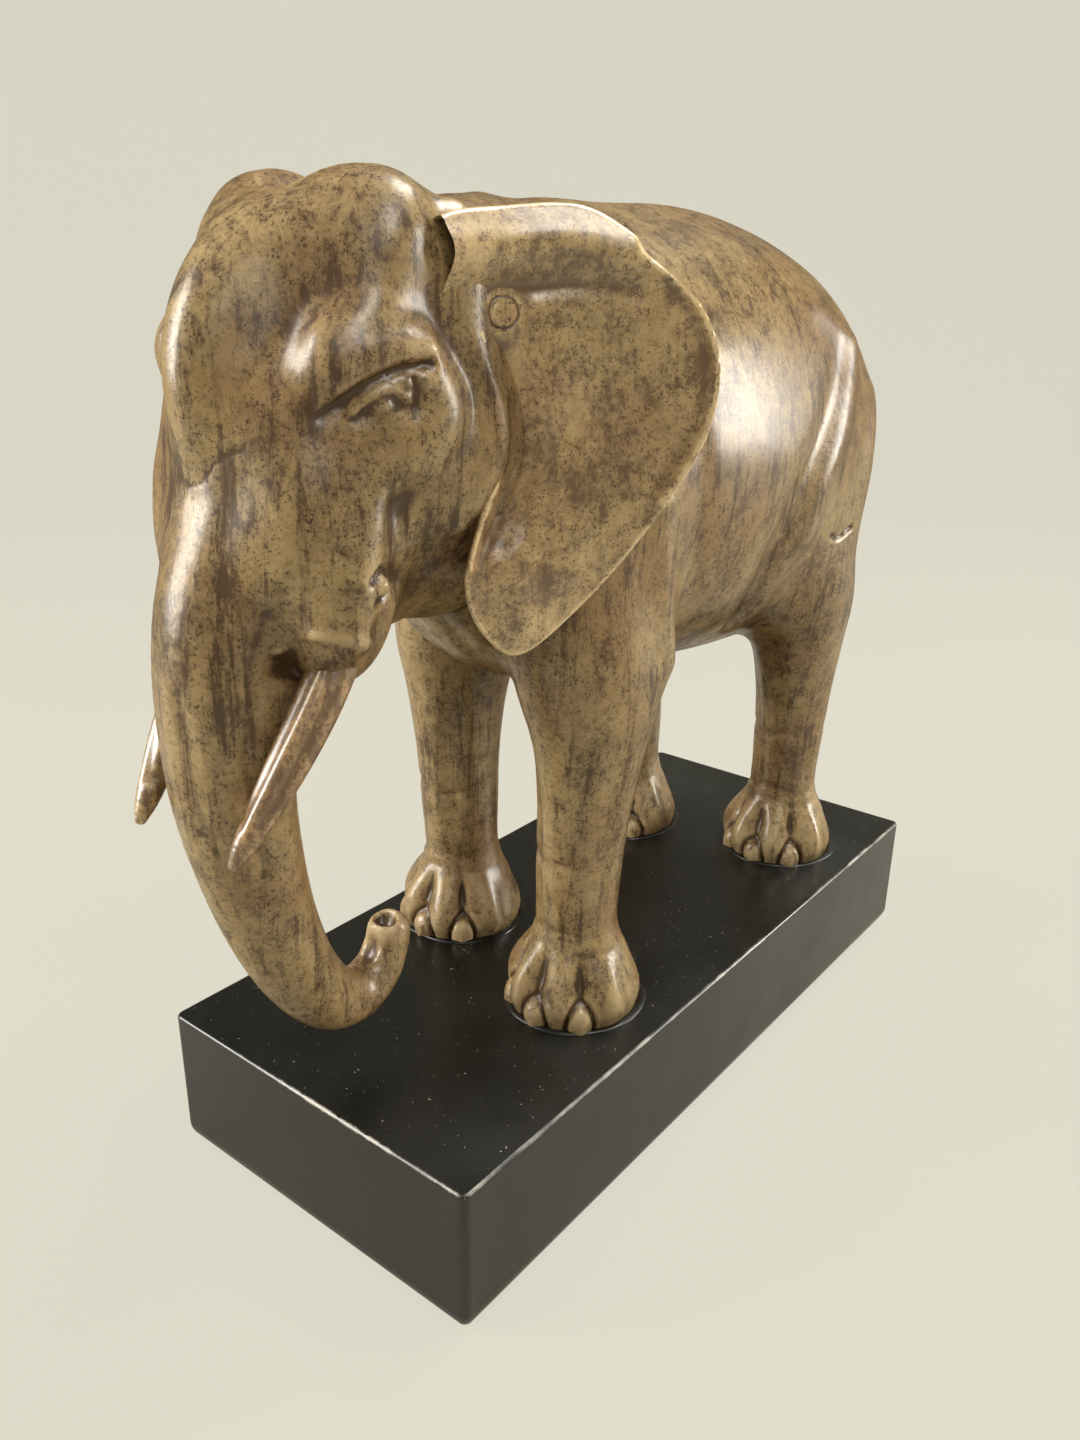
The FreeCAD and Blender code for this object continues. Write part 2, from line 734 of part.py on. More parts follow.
def check_and_write(parts):
    """Stop on any failed feature, then write one file for each piece."""
    doc.recompute()
    for thing in doc.Objects:
        if "Invalid" in thing.State or "Error" in thing.State:
            raise RuntimeError(thing.Name + " failed")
    os.makedirs("parts", exist_ok=True)
    for node, thing in parts.items():
        thing.Label = node
        shape = thing.Shape
        if shape.isNull() or not shape.isValid():
            raise RuntimeError(node + " has no valid shape")
        if len(shape.Solids) != 1:
            raise RuntimeError("%s is %d solids" % (node, len(shape.Solids)))
        shape.exportStep("parts/%s.step" % node)
        print("%-26s %10.0f mm3, %d faces" % (node, shape.Volume, len(shape.Faces)))


check_and_write(make_parts())
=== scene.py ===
"""Looks of a carved wooden elephant on a lacquered plinth, built around its frame.

The wood is carved as fields: functions that give a point's distance from the
surface, in millimetres, negative inside. Soft unions of eggs, ring stacks and
tubes make the forms, and strokes add the cuts and ridges of the knife. A mesh is
drawn on the surface where a field is zero, and goes into the frame in metres.
The elephant faces -Y, its own left side is +X, and +Z is up.
"""

import math

import bpy
import numpy as np
from mathutils import Matrix, Vector, kdtree


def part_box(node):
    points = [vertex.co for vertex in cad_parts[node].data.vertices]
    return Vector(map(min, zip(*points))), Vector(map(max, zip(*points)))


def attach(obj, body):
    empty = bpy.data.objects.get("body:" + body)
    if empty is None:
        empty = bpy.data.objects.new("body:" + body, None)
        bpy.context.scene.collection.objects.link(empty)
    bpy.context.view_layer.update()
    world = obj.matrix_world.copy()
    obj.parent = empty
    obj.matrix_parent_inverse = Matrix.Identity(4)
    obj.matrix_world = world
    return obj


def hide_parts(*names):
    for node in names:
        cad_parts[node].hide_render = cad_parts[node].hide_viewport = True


bl_info = {
    "name": "Carved elephant",
    "version": (1, 0, 0),
    "blender": (4, 5, 0),
    "location": "View3D > Sidebar > Elephant",
    "description": "Carving, patina and lacquer of a wooden elephant on its plinth",
    "category": "Object",
}

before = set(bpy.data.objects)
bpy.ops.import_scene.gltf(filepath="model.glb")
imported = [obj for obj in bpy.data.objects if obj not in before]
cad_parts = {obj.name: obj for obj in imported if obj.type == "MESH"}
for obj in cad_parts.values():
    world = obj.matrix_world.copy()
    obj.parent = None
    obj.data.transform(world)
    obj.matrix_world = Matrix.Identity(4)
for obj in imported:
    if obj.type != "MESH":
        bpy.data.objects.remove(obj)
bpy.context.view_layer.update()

MM = 0.001
PLINTH_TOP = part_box("plinth")[1].z / MM
PLINTH_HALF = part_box("plinth")[1] / MM
# Heights of the barrel's middle line and the head's centre above the plinth.
BARREL_UP = 184.0
BACK_HEIGHT = PLINTH_TOP + BARREL_UP
HEAD_UP = PLINTH_TOP + 229.0
HEAD_FRONT = -140.0

BODY_STEP = 1.05
SMALL_STEP = 0.8
TUSK_STEP, TAIL_STEP, TONGUE_STEP = SMALL_STEP * 0.75, SMALL_STEP * 0.8, 1.6
# Corners of the spaces in which the fields are read.
BODY_SPACE = (-72.0, -206.0, PLINTH_TOP - 3.0), (72.0, 152.0, 338.0)
TONGUE_SPACE = (-36, -212, 58), (36, -100, 272)
EAR_SPACE = (28, -130, 200), (96, -50, 332)
TUSK_SPACE = (10, -204, 150), (42, -136, 242)
TAIL_SPACE = (-10, 124, 134), (10, 166, 300)
# Most triangles of the carving, cells along a block's side and points settled at once.
BODY_FACES, BLOCK, SETTLED_AT_ONCE = 190000, 6, 4000
# How far off its route a stroke still marks the surface, along its flat axis, and
# where its mark has faded out, in widths.
FLAT_REACH, FADED = 9.5, 2.3
# What a tube gives far away from its box, and how far that is, in millimetres.
FAR = 40.0


# Shapes as distance fields.

def curve_through(points, share=6):
    """Points of a smooth curve through given ones, ends included."""
    points = np.asarray(points, float)
    ends = np.vstack([2 * points[0] - points[1], points, 2 * points[-1] - points[-2]])
    t = np.linspace(0, 1, share, endpoint=False)[:, None]
    runs = []
    for a, b, c, d in zip(ends, ends[1:], ends[2:], ends[3:]):
        curve = 2 * b + (c - a) * t + (2 * a - 5 * b + 4 * c - d) * t ** 2
        runs.append(0.5 * (curve + (3 * b - a - 3 * c + d) * t ** 3))
    return np.vstack(runs + [points[-1:]])


def soft_union(a, b, soft):
    """Both forms, with a fillet of about the soft width where they meet."""
    share = np.clip(0.5 + 0.5 * (b - a) / soft, 0, 1)
    return b + (a - b) * share - soft * share * (1 - share)


def soft_cut(a, b, soft):
    """Form a less form b, with the new edge eased."""
    return -soft_union(-a, b, soft)


def flat_distance(u, v, half_u, half_v):
    """Distance from an ellipse, near enough for carving."""
    k0 = np.sqrt((u / half_u) ** 2 + (v / half_v) ** 2) + 1e-5
    k1 = np.sqrt((u / half_u ** 2) ** 2 + (v / half_v ** 2) ** 2) + 1e-5
    return k0 * (k0 - 1) / k1


def egg(centre, half):
    """An ellipsoid."""
    cx, cy, cz = centre
    hx, hy, hz = half

    def field(x, y, z):
        u, v, w = (x - cx) / hx, (y - cy) / hy, (z - cz) / hz
        k0 = np.sqrt(u * u + v * v + w * w) + 1e-5
        k1 = np.sqrt((u / hx) ** 2 + (v / hy) ** 2 + (w / hz) ** 2) + 1e-5
        return k0 * (k0 - 1) / k1
    return field


def stack(rows, along):
    """Elliptic rings: place, two centres and two half axes a row, along Y or Z."""
    table = curve_through(rows, 8)

    def field(x, y, z):
        t, u, v = (y, x, z) if along == "y" else (z, x, y)
        cu, cv, hu, hv = (np.interp(t, table[:, 0], column) for column in table.T[1:])
        across = flat_distance(u - cu, v - cv, hu, hv)
        return np.maximum(across, np.maximum(table[0, 0] - t, t - table[-1, 0]))
    return field


def squared_to_segment(p, a, b):
    """Squared distance of points from a segment, and the share along it."""
    run = b - a
    off = [p[i] - a[i] for i in range(3)]
    share = sum(off[i] * run[i] for i in range(3)) / max(float(run @ run), 1e-9)
    share = np.clip(share, 0, 1)
    return sum((off[i] - run[i] * share) ** 2 for i in range(3)), share


def along_route(p, points):
    """Squared distance of points from a route, and the place along its stretches."""
    best = np.full(p[0].shape, 1e6)
    place = np.zeros(p[0].shape)
    for number, (a, b) in enumerate(zip(points, points[1:])):
        squared, share = squared_to_segment(p, a, b)
        place = np.where(squared < best, number + share, place)
        best = np.minimum(best, squared)
    return best, place


def within(x, y, z, low, high):
    """Which points lie inside a box, or None where none of them does."""
    if y.min() > high[1] or y.max() < low[1] or z.min() > high[2] or z.max() < low[2]:
        return None
    near = (x > low[0]) & (x < high[0]) & (y > low[1]) & (y < high[1])
    near &= (z > low[2]) & (z < high[2])
    return near if near.any() else None


def bell(value, wide):
    """1 where the value is 0, fading to both sides over a width."""
    return np.exp(-(value / wide) ** 2)


def tube(rows):
    """A round bar of changing radius along x, y, z, radius rows."""
    table = curve_through(rows, 5)
    low = (table[:, :3] - table[:, 3:]).min(0) - FAR
    high = (table[:, :3] + table[:, 3:]).max(0) + FAR

    def field(x, y, z):
        out = np.full(x.shape, FAR)
        near = within(x, y, z, low, high)
        if near is None:
            return out
        p = (x[near], y[near], z[near])
        best = np.full(p[0].shape, FAR)
        for a, b in zip(table, table[1:]):
            squared, share = squared_to_segment(p, a[:3], b[:3])
            best = np.minimum(best, np.sqrt(squared) - a[3] - (b[3] - a[3]) * share)
        out[near] = best
        return out
    return field


def stroke(route, wide, deep, flat="", both=True):
    """A cut, or with deep below zero a ridge, along a route on the surface.

    Two depths are those at the start and the end. It reads distances along the
    flat axis as short, so that a route a little above or below the surface still
    marks it. With both, it is on both sides.
    """
    points = curve_through(route, 4)
    depths = np.linspace(*np.broadcast_to(deep, 2), len(points))
    scale = np.array([wide / FLAT_REACH if axis == flat else 1.0 for axis in "xyz"])
    reach = FADED * wide / scale
    low, high = points.min(0) - reach, points.max(0) + reach
    points = points * scale

    def added(x, y, z):
        x = np.abs(x) if both else x
        near = within(x, y, z, low, high)
        if near is None:
            return 0.0
        best, place = along_route((x[near] * scale[0], y[near] * scale[1],
                                   z[near] * scale[2]), points)
        depth = np.interp(place, range(len(points)), depths)
        out = np.zeros(x.shape)
        out[near] = depth * np.exp(-best / wide ** 2)
        return out
    return added


# Meshes of the fields.

def shell(field, low, high, step):
    """Points, quads and normals of the closed surface where the field is zero."""
    low = np.asarray(low, float)
    counts = np.ceil((np.asarray(high, float) - low) / (BLOCK * step)).astype(int)
    size = BLOCK * step
    centres = [low[i] + (np.arange(counts[i]) + 0.5) * size for i in range(3)]
    grid = [g.ravel() for g in np.meshgrid(*centres, indexing="ij")]
    rough = field(*grid).reshape(counts)
    near = np.abs(rough) < 1.25 * size
    values, mask = rough, near
    for axis in range(3):
        values = np.repeat(values, BLOCK, axis)
        mask = np.repeat(mask, BLOCK, axis)
    values = np.pad(values, ((0, 1),) * 3, mode="edge")
    mask = np.pad(mask, ((0, 1),) * 3)
    for axis in range(3):
        mask |= np.roll(mask, 1, axis)
    lines = [low[i] + np.arange(values.shape[i]) * step for i in range(3)]
    for start in range(0, values.shape[1], BLOCK):
        part = (slice(None), slice(start, start + BLOCK))
        i, j, k = np.nonzero(mask[part])
        if len(i):
            found = field(lines[0][i], lines[1][j + start], lines[2][k])
            values[i, j + start, k] = found
    return nets(values, low, step, field)


def nets(values, low, step, field):
    """Surface nets: one point a crossed cell, one quad a crossed edge."""
    inside = values < 0
    corners = [(a, b, c) for a in (0, 1) for b in (0, 1) for c in (0, 1)]
    ends = [n - 1 for n in values.shape]
    count = np.zeros(ends, np.int8)
    for a, b, c in corners:
        count += inside[a:ends[0] + a, b:ends[1] + b, c:ends[2] + c]
    active = (count > 0) & (count < 8)
    cells = np.argwhere(active)
    index = np.full(active.shape, -1)
    index[active] = np.arange(len(cells))
    total = np.zeros((len(cells), 3))
    number = np.zeros(len(cells))
    for corner in corners:
        for axis in range(3):
            if corner[axis]:
                continue
            other = list(corner)
            other[axis] = 1
            first = values[tuple((cells + corner).T)]
            second = values[tuple((cells + other).T)]
            crossed = (first < 0) != (second < 0)
            share = first[crossed] / (first[crossed] - second[crossed])
            spot = np.tile(np.array(corner, float), (len(share), 1))
            spot[:, axis] = share
            total[crossed] += spot
            number[crossed] += 1
    points = low + step * (cells + total / number[:, None])
    quads = []
    for axis in range(3):
        b, c = (axis + 1) % 3, (axis + 2) % 3
        first = np.take(inside, range(ends[axis]), axis)
        second = np.take(inside, range(1, ends[axis] + 1), axis)
        spots = np.argwhere(first != second)
        fits = (spots[:, b] > 0) & (spots[:, c] > 0)
        fits &= (spots[:, b] < ends[b]) & (spots[:, c] < ends[c])
        spots = spots[fits]
        out = first[tuple(spots.T)]
        back_b, back_c = np.eye(3, dtype=int)[b], np.eye(3, dtype=int)[c]
        around = [spots, spots - back_b, spots - back_b - back_c, spots - back_c]
        quad = np.stack([index[tuple(s.T)] for s in around], 1)
        quads.append(np.where(out[:, None], quad, quad[:, ::-1]))
    points, normals = settle(field, points, step)
    return points, np.vstack(quads), normals


def settle(field, points, step, small=0.2):
    """Move points onto the surface where the field is zero, and give its normals."""
    moved, normals = np.empty_like(points), np.empty_like(points)
    order = np.argsort(points[:, 1])
    for some in np.array_split(order, 1 + len(order) // SETTLED_AT_ONCE):
        p = points[some]
        off = field(*p.T)
        slope = np.stack([(field(*(p + shift).T) - off) / small for shift in np.eye(3) * small], 1)
        steep = np.maximum(np.linalg.norm(slope, axis=1), 0.2)
        normals[some] = slope / steep[:, None]
        for _ in range(2):
            far = np.clip(off / steep, -0.6 * step, 0.6 * step)
            p = p - far[:, None] * normals[some]
            off = field(*p.T)
        moved[some] = p
    return moved, normals


def hollowness(points, quads, normals, rounds):
    """How far each point lies below its smoothed surroundings, in millimetres."""
    pairs = np.vstack([quads[:, [i, (i + 1) % 4]] for i in range(4)])
    number = np.maximum(np.bincount(pairs[:, 0], minlength=len(points)), 1)
    number = number + np.bincount(pairs[:, 1], minlength=len(points))
    smooth = points.copy()
    for _ in range(rounds):
        total = np.empty_like(smooth)
        for i in range(3):
            there = np.bincount(pairs[:, 0], smooth[pairs[:, 1], i], len(points))
            back = np.bincount(pairs[:, 1], smooth[pairs[:, 0], i], len(points))
            total[:, i] = there + back
        smooth = 0.4 * smooth + 0.6 * total / number[:, None]
    return ((smooth - points) * normals).sum(1)


def mesh_object(name, points, quads):
    """A mesh object in metres from points in millimetres and faces of four sides."""
    mesh = bpy.data.meshes.new(name)
    mesh.vertices.add(len(points))
    mesh.vertices.foreach_set("co", (np.asarray(points) * MM).astype(np.float32).ravel())
    mesh.loops.add(len(quads) * 4)
    mesh.loops.foreach_set("vertex_index", np.asarray(quads, np.int32).ravel())
    mesh.polygons.add(len(quads))
    mesh.polygons.foreach_set("loop_start", np.arange(len(quads), dtype=np.int32) * 4)
    mesh.update(calc_edges=True)
    mesh.validate()
    thing = bpy.data.objects.new(name, mesh)
    bpy.context.scene.collection.objects.link(thing)
    return thing


def apply_modifiers(thing):
    """Replace an object's mesh by what its modifiers make of it."""
    graph = bpy.context.evaluated_depsgraph_get()
    made = bpy.data.meshes.new_from_object(thing.evaluated_get(graph))
    thing.modifiers.clear()
    thing.data = made
    return thing


def lighten(thing, faces):
    """Cut a mesh down to about a number of triangles, flat stretches first."""
    there = sum(len(face.vertices) - 2 for face in thing.data.polygons)
    if there > faces:
        fewer = thing.modifiers.new("fewer", "DECIMATE")
        fewer.ratio = faces / there
        apply_modifiers(thing)
    return thing


def split_by(thing, tool, name, inside):
    """A copy of a mesh kept inside or outside a closed tool mesh."""
    piece = bpy.data.objects.new(name, thing.data.copy())
    bpy.context.scene.collection.objects.link(piece)
    knife = piece.modifiers.new("knife", "BOOLEAN")
    knife.object = tool
    knife.operation = "INTERSECT" if inside else "DIFFERENCE"
    knife.solver = "MANIFOLD"
    return apply_modifiers(piece)


def mark_relief(thing, points, relief):
    """Write relief values to a mesh from the nearest of the points that have them."""
    tree = kdtree.KDTree(len(points))
    for number, point in enumerate(points * MM):
        tree.insert(point, number)
    tree.balance()
    nearest = [tree.find(vertex.co)[1] for vertex in thing.data.vertices]
    for name, values in relief.items():
        layer = thing.data.attributes.new(name, "FLOAT", "POINT")
        layer.data.foreach_set("value", values[nearest].astype(np.float32))


def shade_and_stain(points):
    """How much painted shade and stain each point takes, from the listed strokes."""
    x, y, z = points.T
    return sum(stroke(*row)(x, y, z) for row in SHADE_AND_STAIN_STROKES) + np.zeros(len(points))


def smooth_shade(thing, angle):
    """Smooth shading, with edges sharper than an angle left sharp."""
    thing.data.polygons.foreach_set("use_smooth", [True] * len(thing.data.polygons))
    thing.data.set_sharp_from_angle(angle=math.radians(angle))


# Rounds of smoothing for fine relief, and for broad relief of large and thin pieces.
FINE_ROUNDS, LARGE_ROUNDS, SMALL_ROUNDS = 6, 70, 14


def relief_of(points, quads, normals, rounds, lift=0.0):
    """Fine and broad relief of a carved surface, for the patina's dark wax and painted shade in
    hollows and its rubbed heights.
    """
    return {
        "fine_relief": hollowness(points, quads, normals, FINE_ROUNDS),
        "broad_relief": hollowness(points, quads, normals, rounds) + lift,
    }


def paint(thing, material):
    """Give a piece one material."""
    thing.data.materials.clear()
    thing.data.materials.append(material)


def finish_piece(thing, node, material):
    """Give a piece its finish and its place in the frame, and hide the frame's part that it
    replaces.
    """
    paint(thing, material)
    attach(thing, "root")
    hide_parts(node)


def carve(node, ending, surface, lift, material):
    """A piece drawn on its surface, in place of a node of the frame."""
    piece = mesh_object(node + ending, *surface[:2])
    mark_relief(piece, surface[0], relief_of(*surface, SMALL_ROUNDS, lift))
    smooth_shade(piece, 60)
    finish_piece(piece, node, material)


# Forms of the body.

# Torso rings: place along it from chest to rump, lift, half depth and half width.
TORSO_ROWS = (
    (-1.00, 0.080, 0.22, 0.30), (-0.94, 0.070, 0.56, 0.60), (-0.80, 0.060, 0.77, 0.77),
    (-0.57, 0.050, 0.88, 0.89), (-0.25, 0.040, 0.91, 0.97), (0.06, 0.026, 0.95, 1.00),
    (0.34, 0.010, 0.95, 0.99), (0.58, -0.010, 0.90, 0.94), (0.78, -0.030, 0.79, 0.83),
    (0.91, -0.036, 0.61, 0.66), (0.98, -0.036, 0.37, 0.42), (1.00, -0.036, 0.16, 0.18),
)
TORSO_MIDDLE, TORSO_HALF_LENGTH, TORSO_DEPTH, TORSO_HALF_WIDTH = 22.0, 126.0, 174.0, 62.0

# Head rings: height, set-back, half length and half width.
HEAD_ROWS = (
    (-1.30, 0.08, 0.26, 0.24), (-1.18, 0.06, 0.52, 0.50), (-0.95, 0.05, 0.74, 0.72),
    (-0.67, 0.05, 0.83, 0.80), (-0.33, 0.06, 0.81, 0.84), (0.03, 0.06, 0.76, 0.83),
    (0.36, 0.06, 0.64, 0.64), (0.56, 0.05, 0.48, 0.44), (0.66, 0.05, 0.28, 0.25),
)
HEAD_HALF = (40.0, 45.0, 60.0)

# Swellings of one side of the head: centre and half axes as shares of the head's
# half width, length and height, and the softness of the join in millimetres.
# They are forehead, dome, brow, the face above the tusk, cheek and tusk socket.
SWELLINGS = (
    ((0.00, -0.20, -0.10), (0.37, 0.75, 0.67), 15.0),
    ((0.465, 0.14, 0.36), (0.485, 0.52, 0.388), 9.0),
    ((0.74, -0.20, 0.02), (0.25, 0.36, 0.22), 10.0),
    ((0.40, -0.38, -0.52), (0.42, 0.36, 0.46), 14.0),
    ((0.72, 0.27, -0.33), (0.41, 0.54, 0.46), 12.0),
    ((0.58, -0.36, -0.86), (0.38, 0.42, 0.52), 9.0),
)

# Feet are a little narrower than long. Each has its place out and back, half the
# width of its thigh and how far the leg rakes back on its way up.
FOOT_RADIUS, FOOT_HEIGHT, ANKLE_RADIUS, LEG_INSET = 24.5, 18.0, 15.0, 6.0
FOOT_NARROWED = 0.97
FEET = {
    "front_left": (33.0, -58.0, 36.0, 8.0),
    "front_right": (-39.0, -40.0, 36.0, 8.0),
    "rear_left": (33.0, 102.0, 40.0, -17.0),
    "rear_right": (-38.0, 79.0, 40.0, -17.0),
}
# Foot rings: height and radius as shares. Leg rings: height as a share of the
# barrel's, half length and half width, share of the thigh, lean and rake.
FOOT_ROWS = ((-0.1, 0.93), (0.0, 0.97), (0.38, 1.00), (1.00, 0.83))
LEG_ROWS = (
    (0.175, 1.04, 0.98, 0.00, 0.0, 0.0), (0.29, 1.05, 0.98, 0.02, -0.1, 0.0),
    (0.43, 1.08, 1.00, 0.10, -0.3, 0.1), (0.56, 1.08, 1.02, 0.34, -0.4, 0.3),
    (0.67, 1.10, 1.06, 0.74, -0.1, 0.6), (0.81, 1.10, 1.10, 1.00, 0.6, 0.9),
    (0.97, 1.10, 1.10, 0.90, 1.0, 1.0),
)
THIGH_FLATNESS = 0.68

# Trunk: how far its axis is in front of the trunk's front line and below the head's
# centre, and the radius as a share.
TRUNK_FRONT, TRUNK_RADIUS = -176.0, 20.2
TRUNK_ROWS = (
    (-33.0, 30.0, 0.80), (-19.0, 42.0, 0.94), (-8.0, 57.0, 1.00), (-1.5, 80.0, 0.95),
    (0.0, 111.0, 0.86), (-3.0, 135.0, 0.77), (-9.0, 160.0, 0.68), (-18.0, 182.0, 0.60),
    (-29.0, 197.0, 0.53), (-40.0, 202.0, 0.45), (-50.0, 198.5, 0.40),
    (-55.0, 191.0, 0.37), (-56.5, 186.0, 0.36),
)

# Strokes of the knife on the head and body: route, width, depth and flat axis.
# A depth below zero leaves a ridge, and two depths are those at its two ends.
HEAD_STROKES = (
    # Band down the forehead, the shallow hollow beside it and the temple's ridge.
    (((17, -162, 318), (10, -179, 296), (4, -185, 268)), 9.0, (-1.6, -0.4), "y"),
    (((26, -152, 320), (29, -157, 306), (31, -160, 295)), 8.0, (1.6, 0.8), "x"),
    (((31, -134, 322), (34, -141, 311), (36, -146, 300)), 6.0, (-1.4, -0.6), "x"),
    (((0, -112, 325), (0, -132, 327), (0, -150, 323), (0, -164, 314)), 8.0, (3.6, 0.8), "z"),
    # Brow and the crease under it.
    (((36, -138, 288.5), (36, -145, 288.8), (34, -154, 287), (30, -164, 282)),
     3.4, (-3.6, -0.2), "x"),
    (((36, -139, 284.4), (36, -147, 283.2), (34, -155, 280), (31, -163, 273)),
     1.8, (3.2, 1.0), "x"),
    # Eye: its hollow, ball, lid and the groove behind it.
    (((34, -156, 274), (36, -151, 275.6), (37, -145, 276.5)), 3.4, 1.6, "x"),
    (((35, -151, 275.3), (35, -150.4, 275.4)), 2.0, -2.0, "x"),
    (((34, -156.5, 274), (35, -153, 277.8), (36, -149, 278.8), (37, -144.8, 276.6)),
     1.1, -1.2, "x"),
    (((37, -143, 281), (37, -142.4, 277), (37, -143.6, 272)), 1.2, (1.6, 0.8), "x"),
    # Pad of the cheek and the soft valley behind it.
    (((39, -137, 281), (40, -134, 274), (39, -140, 264)), 8.0, (-2.2, -1.4), "x"),
    (((38, -131, 290), (41, -127, 284), (44, -124, 276), (45, -126, 266),
      (44, -134, 256), (40, -146, 250)), 5.0, (0.6, 2.0), "x"),
    # Fold between the head and the ear's root.
    (((35, -128, 306), (37, -124, 292), (42, -119, 281), (45, -115, 268), (44, -118, 255),
      (40, -126, 243)), 4.4, (-0.6, -1.4), "x"),
    # Tusk socket: its ridge, the valley to the trunk and the rim over the tusk.
    (((34, -152, 252), (36, -157, 244), (38, -159, 235), (37, -160, 226), (35, -161, 217)),
     6.0, (-1.0, -2.4), "x"),
    (((32, -168, 248), (32, -172, 238), (29, -175, 229), (25, -174, 218), (19, -171, 209)),
     4.8, (1.0, 2.6), "y"),
    (((22, -174, 214), (28, -174, 218), (33, -171, 220), (37, -164, 219), (37, -157, 216)),
     2.4, -1.6, ""),
    (((41, -143, 252), (40, -146, 244), (40, -148, 236)), 4.6, 1.3, "x"),
    (((34, -144, 230), (34, -152, 222), (33, -156, 214)), 4.5, 1.4, "x"),
    # Mouth corner.
    (((37, -157, 233), (39, -153, 235), (40, -149, 232), (39, -150, 227), (37, -155, 227)),
     1.3, 1.9, "x"),
    (((38, -153, 231), (38, -152.5, 230.5)), 2.6, -2.0, "x"),
    (((40, -146, 232), (40, -136, 226), (36, -124, 220)), 3.0, (2.4, 1.0), "x"),
)
BODY_STROKES = (
    # Hip bone and the fold that runs down the flank from it.
    (((46, 62, 296), (49, 70, 292), (51, 78, 285)), 9.0, -2.4, "x"),
    (((51, 72, 280), (56, 62, 270), (60, 50, 256), (62, 40, 243), (60, 31, 225),
      (54, 27, 208), (40, 34, 184)), 7.0, (0.8, 3.4), "x"),
    (((54, 84, 282), (58, 72, 266), (61, 61, 250), (61, 52, 235), (58, 46, 215)),
     8.0, -2.6, "x"),
    (((52, 112, 262), (56, 102, 240), (56, 94, 215), (52, 86, 190)), 7.0, -1.6, "x"),
    (((56, 88, 212), (58, 79, 209), (58, 72, 211)), 1.0, 1.4, "x"),
    # Shoulder blade and the edge of the front leg against the belly.
    (((40, -62, 300), (50, -56, 275), (55, -50, 245), (56, -44, 215), (54, -36, 185)),
     7.0, -2.2, "x"),
    (((44, -42, 300), (54, -36, 272), (59, -29, 240), (58, -24, 208), (52, -20, 182)),
     6.0, (0.6, 2.2), "x"),
    # Backbone, and the hollows beside it.
    (((0, -70, 325), (0, -10, 330), (0, 60, 322), (0, 110, 303), (0, 138, 275)), 7.0, -2.0, "z"),
    (((17, -66, 322), (19, -10, 325), (20, 50, 318), (20, 100, 299)), 9.0, 1.4, "z"),
    # Chest folds between the front legs.
    (((8, -96, 205), (9, -90, 190), (9, -84, 178)), 4.0, 1.2, "y"),
    (((22, -92, 212), (30, -84, 204), (38, -74, 198)), 4.0, 1.0, "y"),
)
TRUNK_JOINT = ((-6, -184, 249), (-2, -185, 254), (4, -185, 256.5), (8, -184, 261),
               (11, -183, 263), (16, -181, 265))
# Cuts that aren't the same on both sides: the trunk's joint and its grooves.
SINGLE_STROKES = (
    (TRUNK_JOINT, 0.6, (0.2, 0.5), "y"),
    (((15, -182, 262), (13, -182.5, 252), (11.5, -182, 243), (12.5, -183, 236),
      (13, -186, 226), (13.5, -188, 214)), 3.4, (0.2, 0.9), "y"),
    (((4, -196, 205), (6, -197, 185), (5, -196, 165)), 2.2, 0.9, "y"),
    (((-5, -194, 215), (-6, -197, 190), (-5, -196, 160)), 3.0, 0.8, "y"),
    (((20, -176, 225), (20, -182, 200), (17, -182, 175), (13, -178, 150)), 2.4, 1.0, "x"),
)

# Painted shade in hollows, creases and the trunk's grooves, between the legs and under the belly,
# and the dark line of the trunk's joint, left side and right alike: route, width, strength and
# flat axis, as the strokes above.
SHADE_AND_STAIN_STROKES = (
    (((28, -154, 318), (30, -158, 306), (32, -160, 292)), 7.0, 0.45, "x"),
    (((15, -182, 265), (12, -182.5, 246), (13, -186, 226), (13, -190, 200)),
     3.4, (1.2, 0.6), "y"),
    (TRUNK_JOINT, 0.8, 0.9, "y"),
    (((6, -192, 226), (6, -197, 200), (5, -196, 165)), 3.0, (0.3, 0.6), "y"),
    (((34, -160, 282), (32, -164, 272), (30, -168, 262)), 5.0, 0.35, "x"),
    (((36, -160, 222), (30, -170, 214), (20, -172, 212)), 4.0, 0.5, ""),
    (((40, -140, 246), (38, -124, 232), (30, -112, 215)), 9.0, 0.5, "x"),
    (((20, -78, 205), (22, -72, 180), (24, -66, 150), (24, -62, 115)), 9.0, 0.4, "x"),
    (((52, 92, 225), (44, 100, 180), (38, 104, 130), (36, 108, 90)), 10.0, 0.35, "x"),
    (((30, 0, 180), (30, 40, 172), (26, 80, 175)), 14.0, 0.4, "x"),
)

# Front legs: a groove up the inside of the shin, folds at wrist and knee.
LEG_GROOVES = (
    # share of the way round from the front, heights above the plinth, width, depth
    (-0.30, (34.0, 105.0), 4.0, 0.9),
    (0.80, (30.0, 110.0), 5.0, 1.2),
)
ANKLE_FOLDS = (27.0, 33.0, 62.0)
# How high and how far from its middle a leg is marked.
MARKED_UP, MARKED_OUT = 115, 38

# Toes: angles round the foot from straight ahead, in degrees.
NAIL_ANGLES = (-42.0, 0.0, 42.0)
TOE_ANGLES = (-72.0, -21.0, 21.0, 72.0)


def torso_field():
    """Barrel of the body."""
    rows = []
    for along, lift, deep, wide in TORSO_ROWS:
        rows.append((TORSO_MIDDLE + along * TORSO_HALF_LENGTH, 0.0,
                     BACK_HEIGHT + lift * TORSO_DEPTH,
                     wide * TORSO_HALF_WIDTH, deep * TORSO_DEPTH / 2))
    return stack(rows, "y")


def skull_field():
    """Main mass of the head."""
    half_x, half_y, half_z = HEAD_HALF
    rows = []
    for up, back, long, wide in HEAD_ROWS:
        rows.append((HEAD_UP + up * half_z, 0.0, HEAD_FRONT + back * 2 * half_y,
                     wide * half_x, long * half_y))
    return stack(rows, "z")


